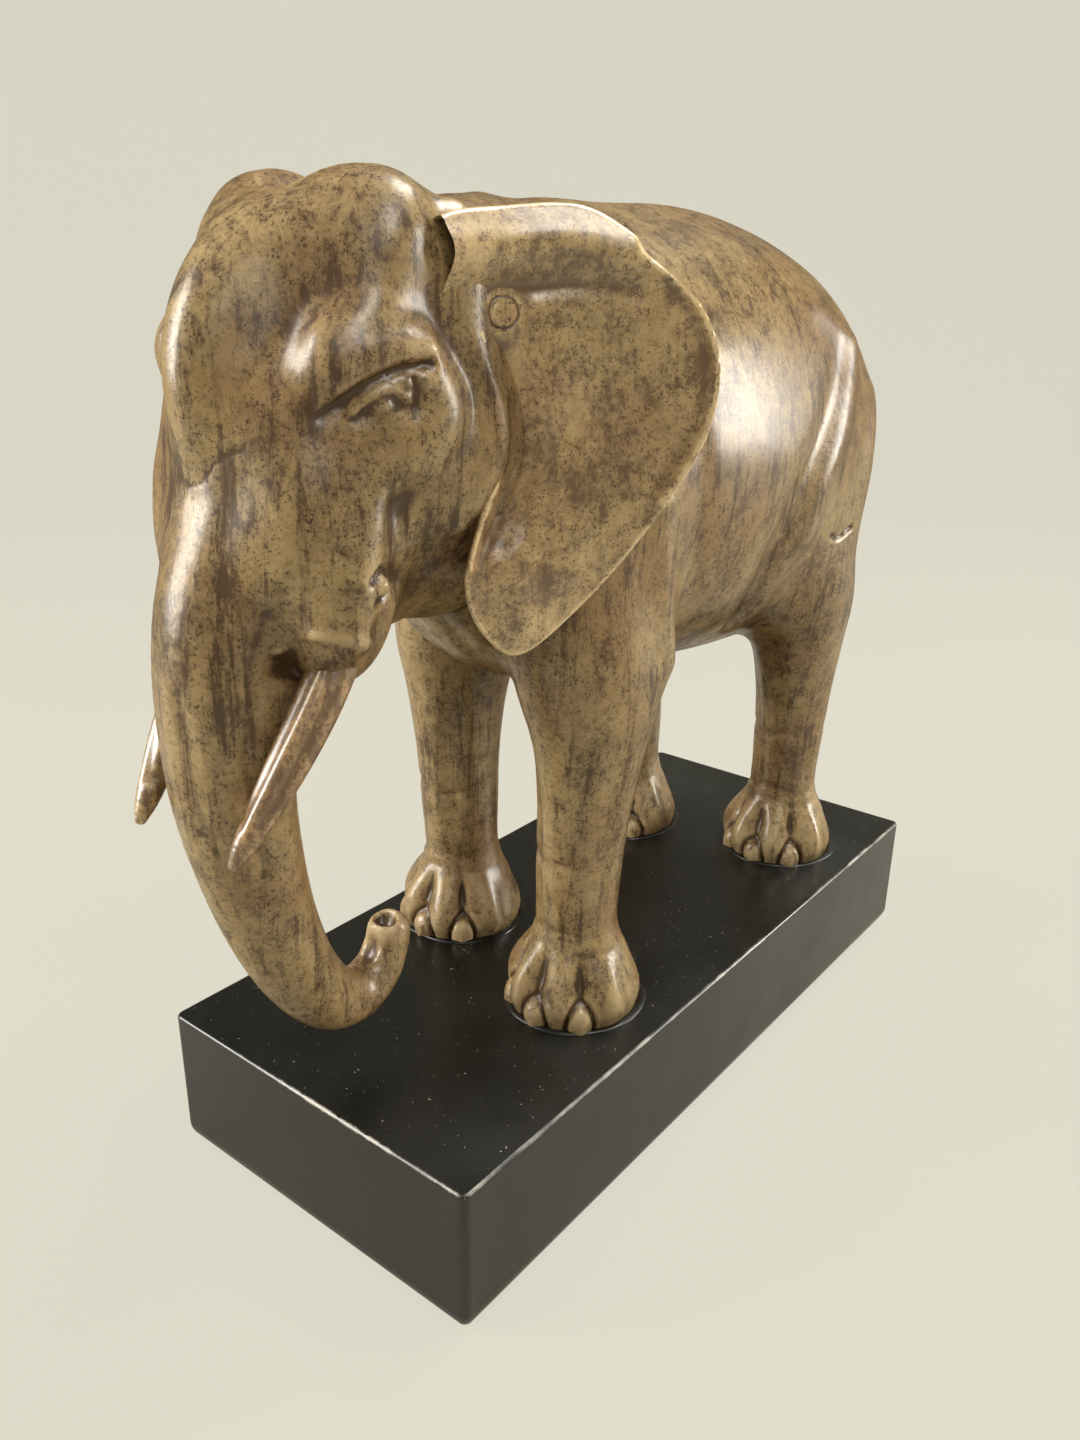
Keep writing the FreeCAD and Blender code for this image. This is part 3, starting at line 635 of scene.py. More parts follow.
def leg_field(out, back, top_half, rake):
    """One leg from its foot to its top inside the torso."""
    rows = []
    side = math.copysign(1.0, out)
    for up, share in FOOT_ROWS:
        rows.append((PLINTH_TOP + up * FOOT_HEIGHT, out, back,
                     FOOT_NARROWED * share * FOOT_RADIUS, share * FOOT_RADIUS))
    for up, along, across, mix, lean, behind in LEG_ROWS:
        rows.append((
            PLINTH_TOP + up * BARREL_UP, out - side * lean * LEG_INSET, back + behind * rake,
            across * (1 - mix) * ANKLE_RADIUS + mix * THIGH_FLATNESS * top_half,
            along * (1 - mix) * ANKLE_RADIUS + mix * top_half))
    return stack(rows, "z")


def toe_relief(out, back):
    """Toes, tendons and nails of one foot, and the folds of its leg."""
    def added(x, y, z):
        if (z.min() > PLINTH_TOP + MARKED_UP or y.min() > back + MARKED_OUT
                or y.max() < back - MARKED_OUT):
            return 0.0
        change = np.zeros(x.shape)
        up = z - PLINTH_TOP
        u, v = x - out, y - back
        near = (up < MARKED_UP) & (u * u + v * v < MARKED_OUT ** 2)
        if not near.any():
            return change
        u, v, up = u[near], v[near], up[near]
        turn = np.degrees(np.arctan2(np.sign(out) * u, -v))
        part = np.zeros(u.shape)
        swell = bell(up - 13, 9.5)
        for angle in TOE_ANGLES:
            part -= 3.0 * swell * bell(turn - angle, 13.0)
        for angle in NAIL_ANGLES:
            part += 2.6 * np.exp(-((up - 17) / 6.5) ** 2 - ((turn - angle) / 7.0) ** 2)
            across = np.radians(turn - angle) * FOOT_RADIUS
            arch = np.sqrt((across / 5.2) ** 2 + (np.maximum(up, 0) / 10.0) ** 2)
            part += 1.7 * bell(arch - 1.05, 0.18)
            part -= 2.6 * np.clip(1.05 - arch, 0, 1)
        for share, (start, end), wide, deep in LEG_GROOVES:
            apart = np.radians(turn) - share * math.pi / 2
            apart = np.arctan2(np.sin(apart), np.cos(apart)) * ANKLE_RADIUS
            middle = np.clip((up - start) / 12, 0, 1) * np.clip((end - up) / 12, 0, 1)
            part += deep * middle * bell(apart, wide)
        for height in ANKLE_FOLDS:
            wave = height + 1.5 * np.sin(np.radians(turn) * 2 + height)
            part += 0.6 * bell(up - wave, 2.2) * (0.5 + 0.5 * np.cos(np.radians(turn)))
        change[near] = part
        return change
    return added


def head_swellings():
    """Domes, cheeks and tusk sockets of the left side."""
    found = []
    half = np.array(HEAD_HALF)
    for centre, axes, soft in SWELLINGS:
        middle = np.array(centre) * half + (0, HEAD_FRONT, HEAD_UP)
        found.append((egg(middle, np.array(axes) * half), soft))
    return found


def trunk_tube():
    """The trunk, from its root in the forehead to the curl."""
    rows = []
    for forward, down, share in TRUNK_ROWS:
        rows.append((0.0, TRUNK_FRONT - forward, HEAD_UP - down, share * TRUNK_RADIUS))
    return tube(rows)


def elephant_field():
    """Body, head, legs and trunk as one surface, with every cut on it."""
    torso, skull, trunk = torso_field(), skull_field(), trunk_tube()
    swellings = head_swellings()
    neck = egg((0.0, -104.0, HEAD_UP - 21.6), (46.0, 45.0, 57.6))
    nape = egg((0.0, -82.0, 292.0), (30.0, 34.0, 34.0))
    ear_root = egg((33.0, -118.5, 294.0), (9.4, 10.0, 28.0))
    legs = [leg_field(*place) for place in FEET.values()]
    toes = [toe_relief(out, back) for out, back, _, _ in FEET.values()]
    marks = [stroke(*row) for row in HEAD_STROKES + BODY_STROKES]
    marks += [stroke(*row, both=False) for row in SINGLE_STROKES]
    curl = trunk_tip()

    def field(x, y, z):
        side = np.abs(x)
        head = skull(x, y, z)
        for swelling, soft in swellings:
            head = soft_union(head, swelling(side, y, z), soft)
        head = soft_union(head, ear_root(side, y, z), 8.0)
        head = soft_union(head, trunk(x, y, z), 11.0)
        body = soft_union(torso(x, y, z), neck(x, y, z), 16.0)
        body = soft_union(body, nape(x, y, z), 12.0)
        for leg in legs:
            body = soft_union(body, leg(x, y, z), 9.0)
        whole = soft_union(body, head, 7.0)
        for mark in marks + toes:
            whole = whole + mark(x, y, z)
        return curl(whole, x, y, z)
    return field


def trunk_tip():
    """Shapes the end of the trunk: cut off flat, with a lip and a hollow in it."""
    hollow = egg((0.0, TRUNK_FRONT + 55.0, HEAD_UP - 177.0), (5.2, 4.0, 8.0))
    scoop = egg((0.0, TRUNK_FRONT + 45.5, HEAD_UP - 186.0), (4.5, 4.5, 7.0))

    def shaped(whole, x, y, z):
        if z.min() > HEAD_UP - 150 or z.max() < HEAD_UP - 205 or y.max() < TRUNK_FRONT + 30:
            return whole
        whole = soft_cut(whole, hollow(x, y, z), 1.2)
        return soft_cut(whole, scoop(x, y, z), 2.0)
    return shaped


def tongue_field():
    """What belongs to the trunk's own block of wood."""
    trunk = trunk_tube()

    def field(x, y, z):
        reach = np.interp(z, (200, 212, 222, 232, 240, 250, 258, 263, 266.5, 268),
                          (21, 21, 26, 29, 31, 27, 21, 16, 9, 0.5))
        middle = np.interp(z, (240, 262), (0.0, 4.0))
        front = np.maximum(np.abs(x - middle) - reach, y + 168)
        front = np.maximum(front, np.maximum(z - 267, 60 - z))
        return np.minimum(front * 0.8, trunk(x, y, z) - 0.8)
    return field


# Ear, in its own plane: out from the root, up from the tip, and behind.

EAR_WIDE, EAR_HIGH, EAR_THICK, EAR_BEND = 67.0, 119.0, 6.0, 75.0
EAR_ROOT = (39.0, -120.0, HEAD_UP - 82.0)
EAR_TURN = math.radians(47.0)
EAR_OUTLINE = (
    (-0.27, 0.90), (-0.10, 0.97), (0.10, 0.99), (0.43, 1.00), (0.64, 0.945), (0.70, 0.905),
    (0.92, 0.79), (0.995, 0.63), (0.90, 0.43), (0.60, 0.18), (0.24, 0.00), (0.05, 0.06),
    (-0.03, 0.20), (0.05, 0.38), (0.11, 0.52), (0.03, 0.68), (-0.12, 0.78),
)
# Relief of the hollow face: route out and up, width and the depths at its two ends.
EAR_STROKES = (
    # Rolled band along the top, and the fold line under it.
    (((-7, 107), (6, 109), (26, 111), (46, 107)), 7.0, (-5.4, -3.2)),
    (((0, 94), (8, 97.5), (20, 99.5), (34, 100.5), (46, 98)), 3.4, (3.6, 0.6)),
    # Notch in the top edge and the thin rim that turns over outside it.
    (((47, 118), (48, 111), (47, 104)), 2.6, (3.4, 1.0)),
    (((53, 106), (61, 96), (65.5, 85), (66, 74), (62, 58), (54, 44)), 2.4, (-3.4, -1.6)),
    # Upstanding rim along the front edge, from the peg to the lobe.
    (((3, 88), (6.5, 74), (8.5, 62), (7, 50), (2, 38), (-1, 28)), 2.2, (-3.2, -4.4)),
    (((9, 84), (12, 70), (14, 60), (12, 47), (8, 34)), 4.4, (1.6, 2.2)),
    # Hollows and swells of the blade.
    (((30, 84), (42, 72), (46, 56)), 15.0, (2.4, 1.6)),
    (((26, 58), (28, 40), (26, 24)), 9.0, (-1.0, -1.8)),
    (((12, 30), (13, 18), (16, 9)), 6.0, -2.0),
)
PEG_OUT, PEG_UP, PEG_RADIUS = 9.0, 93.0, 3.5
EAR_GRID, EAR_ROOM_OUT, EAR_ROOM_UP, EAR_EDGE = 0.5, 16.0, 14.0, 1.3


def in_plane(points):
    """Points of a plane with a third coordinate of zero."""
    return np.pad(points, ((0, 0), (0, 1)))


def outline_distance(points):
    """Signed distance from a closed outline, as a grid and its lines."""
    u = np.arange(-EAR_ROOM_OUT, EAR_WIDE + EAR_ROOM_OUT, EAR_GRID)
    v = np.arange(-EAR_ROOM_UP, EAR_HIGH + EAR_ROOM_UP, EAR_GRID)
    gu, gv = (g.ravel() for g in np.meshgrid(u, v, indexing="ij"))
    loop = np.vstack([points[-2:], points, points[:3]])
    curve = curve_through(loop, 7)[14:-14]
    best, _ = along_route((gu, gv, np.zeros(gu.shape)), in_plane(curve))
    inside = np.zeros(gu.shape, bool)
    for a, b in zip(curve, curve[1:]):
        crosses = (a[1] > gv) != (b[1] > gv)
        rise = b[1] - a[1] if abs(b[1] - a[1]) > 1e-9 else 1e-9
        inside ^= crosses & (gu < a[0] + (gv - a[1]) * (b[0] - a[0]) / rise)
    signed = np.where(inside, -1, 1) * np.sqrt(best)
    return u, v, signed.reshape(len(u), len(v))


def read_grid(u, v, grid, x, y):
    """Values of a grid between its lines."""
    i = np.clip((x - u[0]) / (u[1] - u[0]), 0, len(u) - 1.001)
    j = np.clip((y - v[0]) / (v[1] - v[0]), 0, len(v) - 1.001)
    i0, j0 = i.astype(int), j.astype(int)
    a, b = i - i0, j - j0
    near = grid[i0, j0] * (1 - b) + grid[i0, j0 + 1] * b
    far = grid[i0 + 1, j0] * (1 - b) + grid[i0 + 1, j0 + 1] * b
    return near * (1 - a) + far * a


def ear_field():
    """The left ear's blade with its rims and rolled band."""
    shape = np.array(EAR_OUTLINE) * (EAR_WIDE, EAR_HIGH)
    u_line, v_line, edge = outline_distance(shape)
    gu, gv = np.meshgrid(u_line, v_line, indexing="ij")
    relief = np.zeros(gu.shape)
    flat = (gu.ravel(), gv.ravel(), np.zeros(gu.size))
    for route, wide, deep in EAR_STROKES:
        points = in_plane(curve_through(route, 4))
        best, place = along_route(flat, points)
        depth = np.interp(place, (0, len(points) - 1), np.broadcast_to(deep, 2))
        relief += (depth * np.exp(-best / wide ** 2)).reshape(gu.shape)
    from_peg = np.hypot(gu - PEG_OUT, gv - PEG_UP)
    relief *= 1 - np.exp(-(from_peg / 6.5) ** 4)
    relief += 0.9 * bell(from_peg - PEG_RADIUS - 0.3, 0.55)
    half = EAR_WIDE / 2
    chord = math.sqrt(EAR_BEND ** 2 - half ** 2)
    turn_c, turn_s = math.cos(EAR_TURN), math.sin(EAR_TURN)

    def field(x, y, z):
        px, py = x - EAR_ROOT[0], y - EAR_ROOT[1]
        out = px * turn_c + py * turn_s
        behind = -px * turn_s + py * turn_c
        up = z - EAR_ROOT[2]
        bend = np.sqrt(np.maximum(EAR_BEND ** 2 - (out - half) ** 2, 1)) - chord
        rim = read_grid(u_line, v_line, edge, out, up)
        extra = read_grid(u_line, v_line, relief, out, up)
        thin = EAR_THICK / 2 - 1.3 * bell(rim, 9.0)
        front = (bend - behind) - thin + extra
        back = (behind - bend) - thin + 0.25 * np.abs(extra)
        across = np.maximum(front, back)
        a, b = np.maximum(rim + EAR_EDGE, 0), np.maximum(across + EAR_EDGE, 0)
        inner = np.minimum(np.maximum(rim, across) + EAR_EDGE, 0)
        return inner + np.sqrt(a * a + b * b) - EAR_EDGE
    return field


# Tusks and tail.

TUSK_OUT, TUSK_RADIUS = 25.0, 6.5
TUSK_ROWS = (
    (0.0, 8.0, 55.0, 0.92), (-1.0, 16.0, 70.0, 1.00), (-1.0, 25.0, 84.0, 1.00),
    (0.5, 37.0, 101.0, 0.86), (3.0, 48.0, 117.0, 0.56), (4.0, 52.4, 123.4, 0.28),
)
TAIL_FRONT, TAIL_RADIUS = 148.0, 5.2
TAIL_ROWS = (
    (-14.0, 50.0, 0.95), (-1.0, 41.0, 1.00), (5.0, 28.0, 0.95), (6.0, 4.0, 0.85),
    (5.0, -22.0, 0.75), (3.0, -48.0, 0.66), (2.0, -64.0, 0.85), (2.0, -80.0, 0.95),
    (2.0, -95.0, 0.45),
)


def tusk_field():
    """The left tusk, whittled: facets and long shallow cuts down it."""
    rows = []
    for inward, forward, down, share in TUSK_ROWS:
        rows.append((TUSK_OUT - inward, HEAD_FRONT - forward, HEAD_UP - down,
                     share * TUSK_RADIUS))
    bar = tube(rows)
    cuts = (
        stroke(((32, -158, 226), (32, -166, 205), (30, -178, 186), (26, -187, 172)),
               1.3, 0.8, "x", False),
        stroke(((27, -163, 222), (26, -173, 203), (24, -183, 186), (21, -190, 172)),
               1.6, 0.7, "y", False),
        stroke(((30, -152, 214), (30, -160, 197), (28, -170, 181)), 1.6, 0.7, "", False),
    )

    def field(x, y, z):
        whole = bar(x, y, z)
        for mark in cuts:
            whole = whole + mark(x, y, z)
        return whole
    return field


def tail_field():
    """The tail, hanging close to the rump, with strands cut in its tuft."""
    rows = []
    for back, up, share in TAIL_ROWS:
        rows.append((0.0, TAIL_FRONT + back, BACK_HEIGHT + up, share * TAIL_RADIUS))
    bar = tube(rows)

    def field(x, y, z):
        turn = np.arctan2(x, y - TAIL_FRONT - 2.5)
        tuft = np.clip((BACK_HEIGHT - 52 - z) / 8, 0, 1)
        strands = 0.55 * np.sin(turn * 7 + 0.12 * z) * tuft
        rings = 0.25 * np.sin(z * 0.9) * (1 - tuft) * np.clip((BACK_HEIGHT + 28 - z) / 8, 0, 1)
        return bar(x, y, z) + strands + rings
    return field


# Finishes.

def new_material(name):
    """A node material and its principled shader."""
    material = bpy.data.materials.new(name)
    material.use_nodes = True
    return material, material.node_tree.nodes["Principled BSDF"]


class Nodes:
    """Short ways to add and join nodes of one material."""

    def __init__(self, material):
        self.tree = material.node_tree
        self.place = self.tree.nodes.new("ShaderNodeTexCoord").outputs["Object"]

    def add(self, kind, **settings):
        """A node, with properties set by name."""
        node = self.tree.nodes.new(kind)
        for key, value in settings.items():
            setattr(node, key, value)
        return node

    def put(self, socket, value):
        """Join an output to a socket, or set a plain value on it."""
        if isinstance(value, bpy.types.NodeSocket):
            self.tree.links.new(value, socket)
        else:
            socket.default_value = value

    def math(self, operation, first, second=0.0, clamp=False):
        """One sum."""
        node = self.add("ShaderNodeMath", operation=operation, use_clamp=clamp)
        self.put(node.inputs[0], first)
        self.put(node.inputs[1], second)
        return node.outputs[0]

    def times(self, first, second):
        """A product."""
        return self.math("MULTIPLY", first, second)

    def plus(self, total, value, share):
        """A total and a share of a value."""
        return self.math("ADD", total, self.times(value, share))

    def ramp(self, value, start, end):
        """A smooth 0 to 1 step between two values."""
        node = self.add("ShaderNodeMapRange", interpolation_type="SMOOTHSTEP")
        self.put(node.inputs["Value"], value)
        node.inputs["From Min"].default_value = start
        node.inputs["From Max"].default_value = end
        return node.outputs["Result"]

    def noise(self, scale, detail=3.0, rough=0.55, stretch=(1, 1, 1), turn=(0, 0, 0)):
        """Clouds of a scale per metre, stretched along an axis."""
        mapping = self.add("ShaderNodeMapping")
        self.put(mapping.inputs["Vector"], self.place)
        mapping.inputs["Scale"].default_value = stretch
        mapping.inputs["Location"].default_value = turn
        node = self.add("ShaderNodeTexNoise")
        self.put(node.inputs["Vector"], mapping.outputs["Vector"])
        node.inputs["Scale"].default_value = scale
        node.inputs["Detail"].default_value = detail
        node.inputs["Roughness"].default_value = rough
        return node.outputs["Fac"]

    def mix(self, share, first, second):
        """A colour between two."""
        node = self.add("ShaderNodeMix", data_type="RGBA")
        self.put(node.inputs["Factor"], share)
        self.put(node.inputs[6], first)
        self.put(node.inputs[7], second)
        return node.outputs[2]

    def attribute(self, name):
        """A value written on the mesh."""
        return self.add("ShaderNodeAttribute", attribute_name=name).outputs["Fac"]

    def bump(self, height, distance, strength, normal=None):
        """Relief too fine for the mesh."""
        node = self.add("ShaderNodeBump")
        self.put(node.inputs["Height"], height)
        node.inputs["Distance"].default_value = distance
        node.inputs["Strength"].default_value = strength
        if normal is not None:
            self.put(node.inputs["Normal"], normal)
        return node.outputs["Normal"]


def patina(name, looks, streaks, relief):
    """Waxed wood with dark stain, dark wax and painted shade in its hollows, and rubbed heights.
    """
    material, shader = new_material(name)
    n = Nodes(material)
    base, warm = (*looks.wood, 1), (*looks.warm_wood, 1)
    dark, high = (*looks.stain_and_shade, 1), (*looks.rubbed, 1)
    clouds = n.noise(24.0, 4.0, 0.55)
    patches = n.noise(60.0, 8.0, 0.72, turn=(3, 1, 5))
    mottle = n.noise(210.0, 8.0, 0.78, turn=(4, 4, 1))
    grain = n.noise(1600.0, 2.0, 0.6)
    flecks = n.noise(700.0, 4.0, 0.7, turn=(1, 7, 2))
    fibres = n.noise(300.0, 5.0, 0.68, stretch=(1, 1, 0.07), turn=(2, 2, 2))
    colour = n.mix(n.ramp(clouds, 0.40, 0.64), base, warm)
    colour = n.mix(n.times(n.ramp(mottle, 0.44, 0.30), 0.5), colour, high)
    stain_and_shade = n.times(n.ramp(patches, 0.42, 0.68), 0.55)
    stain_and_shade = n.plus(stain_and_shade, n.ramp(mottle, 0.44, 0.70), 0.50)
    stain_and_shade = n.plus(stain_and_shade, n.ramp(fibres, 0.50, 0.66), streaks)
    speckle = n.times(n.ramp(flecks, 0.48, 0.60), n.ramp(grain, 0.44, 0.56))
    speckle = n.times(speckle, n.ramp(patches, 0.30, 0.52))
    stain_and_shade = n.plus(stain_and_shade, speckle, 0.75)
    if relief:
        fine = n.attribute("fine_relief")
        broad = n.attribute("broad_relief")
        # Hollows and creases darken here: partly dark wax, partly painted shade.
        stain_and_shade = n.plus(stain_and_shade, n.ramp(fine, 0.02, 0.24), 0.8)
        stain_and_shade = n.plus(stain_and_shade, n.ramp(broad, 0.2, 2.0), 0.5)
        # Painted shade in creases, grooves and under the belly, and the trunk's dark joint line.
        stain_and_shade = n.plus(stain_and_shade, n.attribute("shade_and_stain"), n.ramp(fibres, 0.34, 0.60))
        rub = n.times(n.ramp(fine, -0.04, -0.28), 0.7)
        rub = n.plus(rub, n.ramp(broad, -0.3, -2.0), 0.45)
        stain_and_shade = n.math("SUBTRACT", stain_and_shade, n.times(rub, 0.45), clamp=True)
        colour = n.mix(n.math("MULTIPLY", rub, 0.5, clamp=True), colour, high)
    stain_and_shade = n.math("MULTIPLY", stain_and_shade, 0.92, clamp=True)
    colour = n.mix(stain_and_shade, colour, dark)
    n.put(shader.inputs["Base Color"], colour)
    gloss = n.math("MULTIPLY_ADD", stain_and_shade, 0.08)
    gloss.node.inputs[2].default_value = looks.sheen_roughness
    n.put(shader.inputs["Roughness"], gloss)
    shader.inputs["Coat Weight"].default_value = looks.wax
    shader.inputs["Coat Roughness"].default_value = 0.24
    shader.inputs["Coat IOR"].default_value = 1.5
    shader.inputs["Coat Tint"].default_value = (1.0, 0.97, 0.91, 1)
    normal = n.bump(grain, 0.00014, 0.30)
    normal = n.bump(flecks, 0.00035, 0.25, normal)
    normal = n.bump(fibres, 0.0005, 0.15 + 0.3 * streaks, normal)
    n.put(shader.inputs["Normal"], normal)
    return material


def lacquer(name, looks, chips):
    """Black lacquer, dull in places, with pale wear along the plinth's top edges."""
    material, shader = new_material(name)
    n = Nodes(material)
    black, worn = (*looks.lacquer, 1), (*looks.worn_edge, 1)
    clouds = n.noise(14.0, 4.0, 0.6)
    dust = n.noise(900.0, 2.0, 0.5)
    scuffs = n.noise(260.0, 5.0, 0.7, stretch=(1, 0.25, 1))
    colour = n.mix(n.times(n.ramp(clouds, 0.4, 0.7), 0.35), black,
                   (*looks.dull_lacquer, 1))
    colour = n.mix(n.times(n.ramp(dust, 0.73, 0.76), 0.6), colour, worn)
    if chips:
        axes = n.add("ShaderNodeSeparateXYZ")
        n.put(axes.inputs[0], n.place)
        half_x, half_y = PLINTH_HALF.x * MM, PLINTH_HALF.y * MM
        x_off = n.math("SUBTRACT", n.math("ABSOLUTE", axes.outputs["X"]), half_x)
        y_off = n.math("SUBTRACT", n.math("ABSOLUTE", axes.outputs["Y"]), half_y)
        side = n.math("MAXIMUM", x_off, y_off)
        top = n.math("SUBTRACT", axes.outputs["Z"], PLINTH_TOP * MM)
        worn_way = n.math("ADD", side, top)
        ragged = n.math("MULTIPLY_ADD", scuffs, 0.0016)
        n.put(ragged.node.inputs[2], worn_way)
        edge = n.ramp(ragged, -0.00035, 0.00010)
        edge = n.times(edge, n.ramp(n.noise(60.0, 3.0), 0.40, 0.64))
        colour = n.mix(n.times(edge, 0.5), colour, worn)
    n.put(shader.inputs["Base Color"], colour)
    rough = n.math("MULTIPLY_ADD", n.ramp(clouds, 0.35, 0.7), 0.14)
    rough.node.inputs[2].default_value = looks.lacquer_roughness
    n.put(shader.inputs["Roughness"], rough)
    shader.inputs["Specular IOR Level"].default_value = 0.5
    normal = n.bump(clouds, 0.0006, 0.12)
    n.put(shader.inputs["Normal"], n.bump(scuffs, 0.00006, 0.25, normal))
    return material


def steel(name):
    """Plain zinc-plated steel of the screws under the plinth."""
    material, shader = new_material(name)
    n = Nodes(material)
    marks = n.noise(700.0, 4.0, 0.6)
    n.put(shader.inputs["Base Color"],
          n.mix(n.ramp(marks, 0.3, 0.7), (0.42, 0.41, 0.38, 1), (0.62, 0.61, 0.58, 1)))
    shader.inputs["Metallic"].default_value = 1.0
    n.put(shader.inputs["Roughness"], n.math("MULTIPLY_ADD", marks, 0.2))
    n.put(shader.inputs["Normal"], n.bump(marks, 0.0001, 0.3))
    return material


# What a user may set.

class ElephantFinishes(bpy.types.PropertyGroup):
    """Colours and gloss of the wood and the lacquer."""
    wood: bpy.props.FloatVectorProperty(
        name="Wood", description="Olive tan of the waxed wood", subtype="COLOR",
        default=(0.47, 0.345, 0.165), min=0, max=1)
    warm_wood: bpy.props.FloatVectorProperty(
        name="Warm wood", description="Browner tan in broad patches", subtype="COLOR",
        default=(0.40, 0.26, 0.12), min=0, max=1)
    # Dark brown of the stain, and of the wax and painted shade in hollows and creases.
    stain_and_shade: bpy.props.FloatVectorProperty(
        name="Stain", description="Dark brown in hollows and flecks", subtype="COLOR",
        default=(0.07, 0.033, 0.013), min=0, max=1)
    rubbed: bpy.props.FloatVectorProperty(
        name="Rubbed heights", description="Pale tan where hands have rubbed it",
        subtype="COLOR", default=(0.64, 0.51, 0.31), min=0, max=1)
    sheen_roughness: bpy.props.FloatProperty(
        name="Wood roughness", description="Roughness of the bare wood", default=0.34,
        min=0, max=1)
    wax: bpy.props.FloatProperty(
        name="Wax", description="Weight of the wax coat", default=0.7, min=0, max=1)
    lacquer: bpy.props.FloatVectorProperty(
        name="Lacquer", description="Black of the plinth", subtype="COLOR",
        default=(0.003, 0.0035, 0.0028), min=0, max=1)
    dull_lacquer: bpy.props.FloatVectorProperty(
        name="Dull lacquer", description="Greyer patches of the plinth", subtype="COLOR",
        default=(0.009, 0.0095, 0.007), min=0, max=1)
    worn_edge: bpy.props.FloatVectorProperty(
        name="Worn edge", description="Pale wear along the plinth's edges",
        subtype="COLOR", default=(0.42, 0.38, 0.32), min=0, max=1)
    lacquer_roughness: bpy.props.FloatProperty(
        name="Lacquer roughness", description="Roughness of the plinth", default=0.26,
        min=0, max=1)


class ElephantStage(bpy.types.PropertyGroup):
    """Camera, floor and lamps."""
    lens: bpy.props.FloatProperty(
        name="Lens", description="Focal length on a 36 mm frame, in millimetres",
        default=28.54, min=5)
    eye: bpy.props.FloatVectorProperty(
        name="Camera", description="Place of the camera", subtype="TRANSLATION",
        unit="LENGTH", default=(0.2446, -0.3496, 0.3045))
    target: bpy.props.FloatVectorProperty(
        name="Target", description="Point that the camera looks at",
        subtype="TRANSLATION", unit="LENGTH", default=(-0.0305, 0.0, 0.1319))
    roll: bpy.props.FloatProperty(
        name="Roll", description="Turn of the camera about its own axis",
        subtype="ANGLE", unit="ROTATION", default=math.radians(0.797))
    floor: bpy.props.FloatVectorProperty(
        name="Floor", description="Colour of the floor and backdrop", subtype="COLOR",
        default=(0.74, 0.71, 0.595), min=0, max=1)
    lamp: bpy.props.FloatProperty(
        name="Lamps", description="Power of each soft box, in watts", default=21.0, min=0)


# Operators, one for each piece or group of like pieces.

class ELEPHANT_OT_body(bpy.types.Operator):
    """Carve the torso, head and legs, and the trunk that is let into the head"""
    bl_idname = "elephant.body"
    bl_label = "Body and trunk"

    def execute(self, context):
        looks = context.scene.elephant_finishes
        wood = patina("waxed_wood", looks, 0.12, True)
        streaked = patina("trunk_wood", looks, 0.6, True)
        points, quads, normals = shell(elephant_field(), *BODY_SPACE, BODY_STEP)
        whole = lighten(mesh_object("whole_carving", points, quads), BODY_FACES)
        tongue = mesh_object("tongue", *shell(tongue_field(), *TONGUE_SPACE, TONGUE_STEP)[:2])
        level = mesh_object("level", *slab())
        whole = split_by(whole, level, "stood", False)
        body = split_by(whole, tongue, "body_carving", False)
        trunk = split_by(whole, tongue, "trunk_carving", True)
        for extra in (tongue, level, whole, bpy.data.objects["whole_carving"]):
            bpy.data.objects.remove(extra)
        relief = relief_of(points, quads, normals, LARGE_ROUNDS)
        # Painted shade in creases and under the belly, and the trunk's dark joint line.
        relief["shade_and_stain"] = shade_and_stain(points)
        for piece, node, finish in ((body, "body", wood), (trunk, "trunk", streaked)):
            mark_relief(piece, points, relief)
            smooth_shade(piece, 50)
            finish_piece(piece, node, finish)
        return {"FINISHED"}


def slab():
    """A box from under the feet up to the plinth's top, to cut the feet level."""
    low, high = (-90, -220, PLINTH_TOP - 20), (90, 200, PLINTH_TOP)
    points = np.array([(x, y, z) for x in (low[0], high[0]) for y in (low[1], high[1])
                       for z in (low[2], high[2])], float)
    quads = np.array([(0, 1, 3, 2), (4, 6, 7, 5), (0, 4, 5, 1), (2, 3, 7, 6),
                      (0, 2, 6, 4), (1, 5, 7, 3)])
    return points, quads


def mirrored(points, quads, normals):
    """The same surface on the right side."""
    flip = np.array([-1.0, 1.0, 1.0])
    return points * flip, quads[:, ::-1], normals * flip


class ELEPHANT_OT_ears(bpy.types.Operator):
    """Carve the two ears"""
    bl_idname = "elephant.ears"
    bl_label = "Ears"

    def execute(self, context):
        wood = patina("ear_wood", context.scene.elephant_finishes, 0.2, True)
        left = shell(ear_field(), *EAR_SPACE, SMALL_STEP)
        for name, surface in (("left_ear", left), ("right_ear", mirrored(*left))):
            carve(name, "_carving", surface, 1.2, wood)
        return {"FINISHED"}


class ELEPHANT_OT_tusks(bpy.types.Operator):
    """Whittle the two tusks"""
    bl_idname = "elephant.tusks"
    bl_label = "Tusks"

    def execute(self, context):
        wood = patina("tusk_wood", context.scene.elephant_finishes, 0.8, True)
        left = shell(tusk_field(), *TUSK_SPACE, TUSK_STEP)
        for name, surface in (("left_tusk", left), ("right_tusk", mirrored(*left))):
            carve(name, "_whittled", surface, 1.8, wood)
        return {"FINISHED"}


class ELEPHANT_OT_tail(bpy.types.Operator):
    """Carve the tail"""
    bl_idname = "elephant.tail"
    bl_label = "Tail"

    def execute(self, context):
        wood = patina("tail_wood", context.scene.elephant_finishes, 0.5, True)
        surface = shell(tail_field(), *TAIL_SPACE, TAIL_STEP)
        carve("tail", "_carving", surface, 1.0, wood)
        return {"FINISHED"}


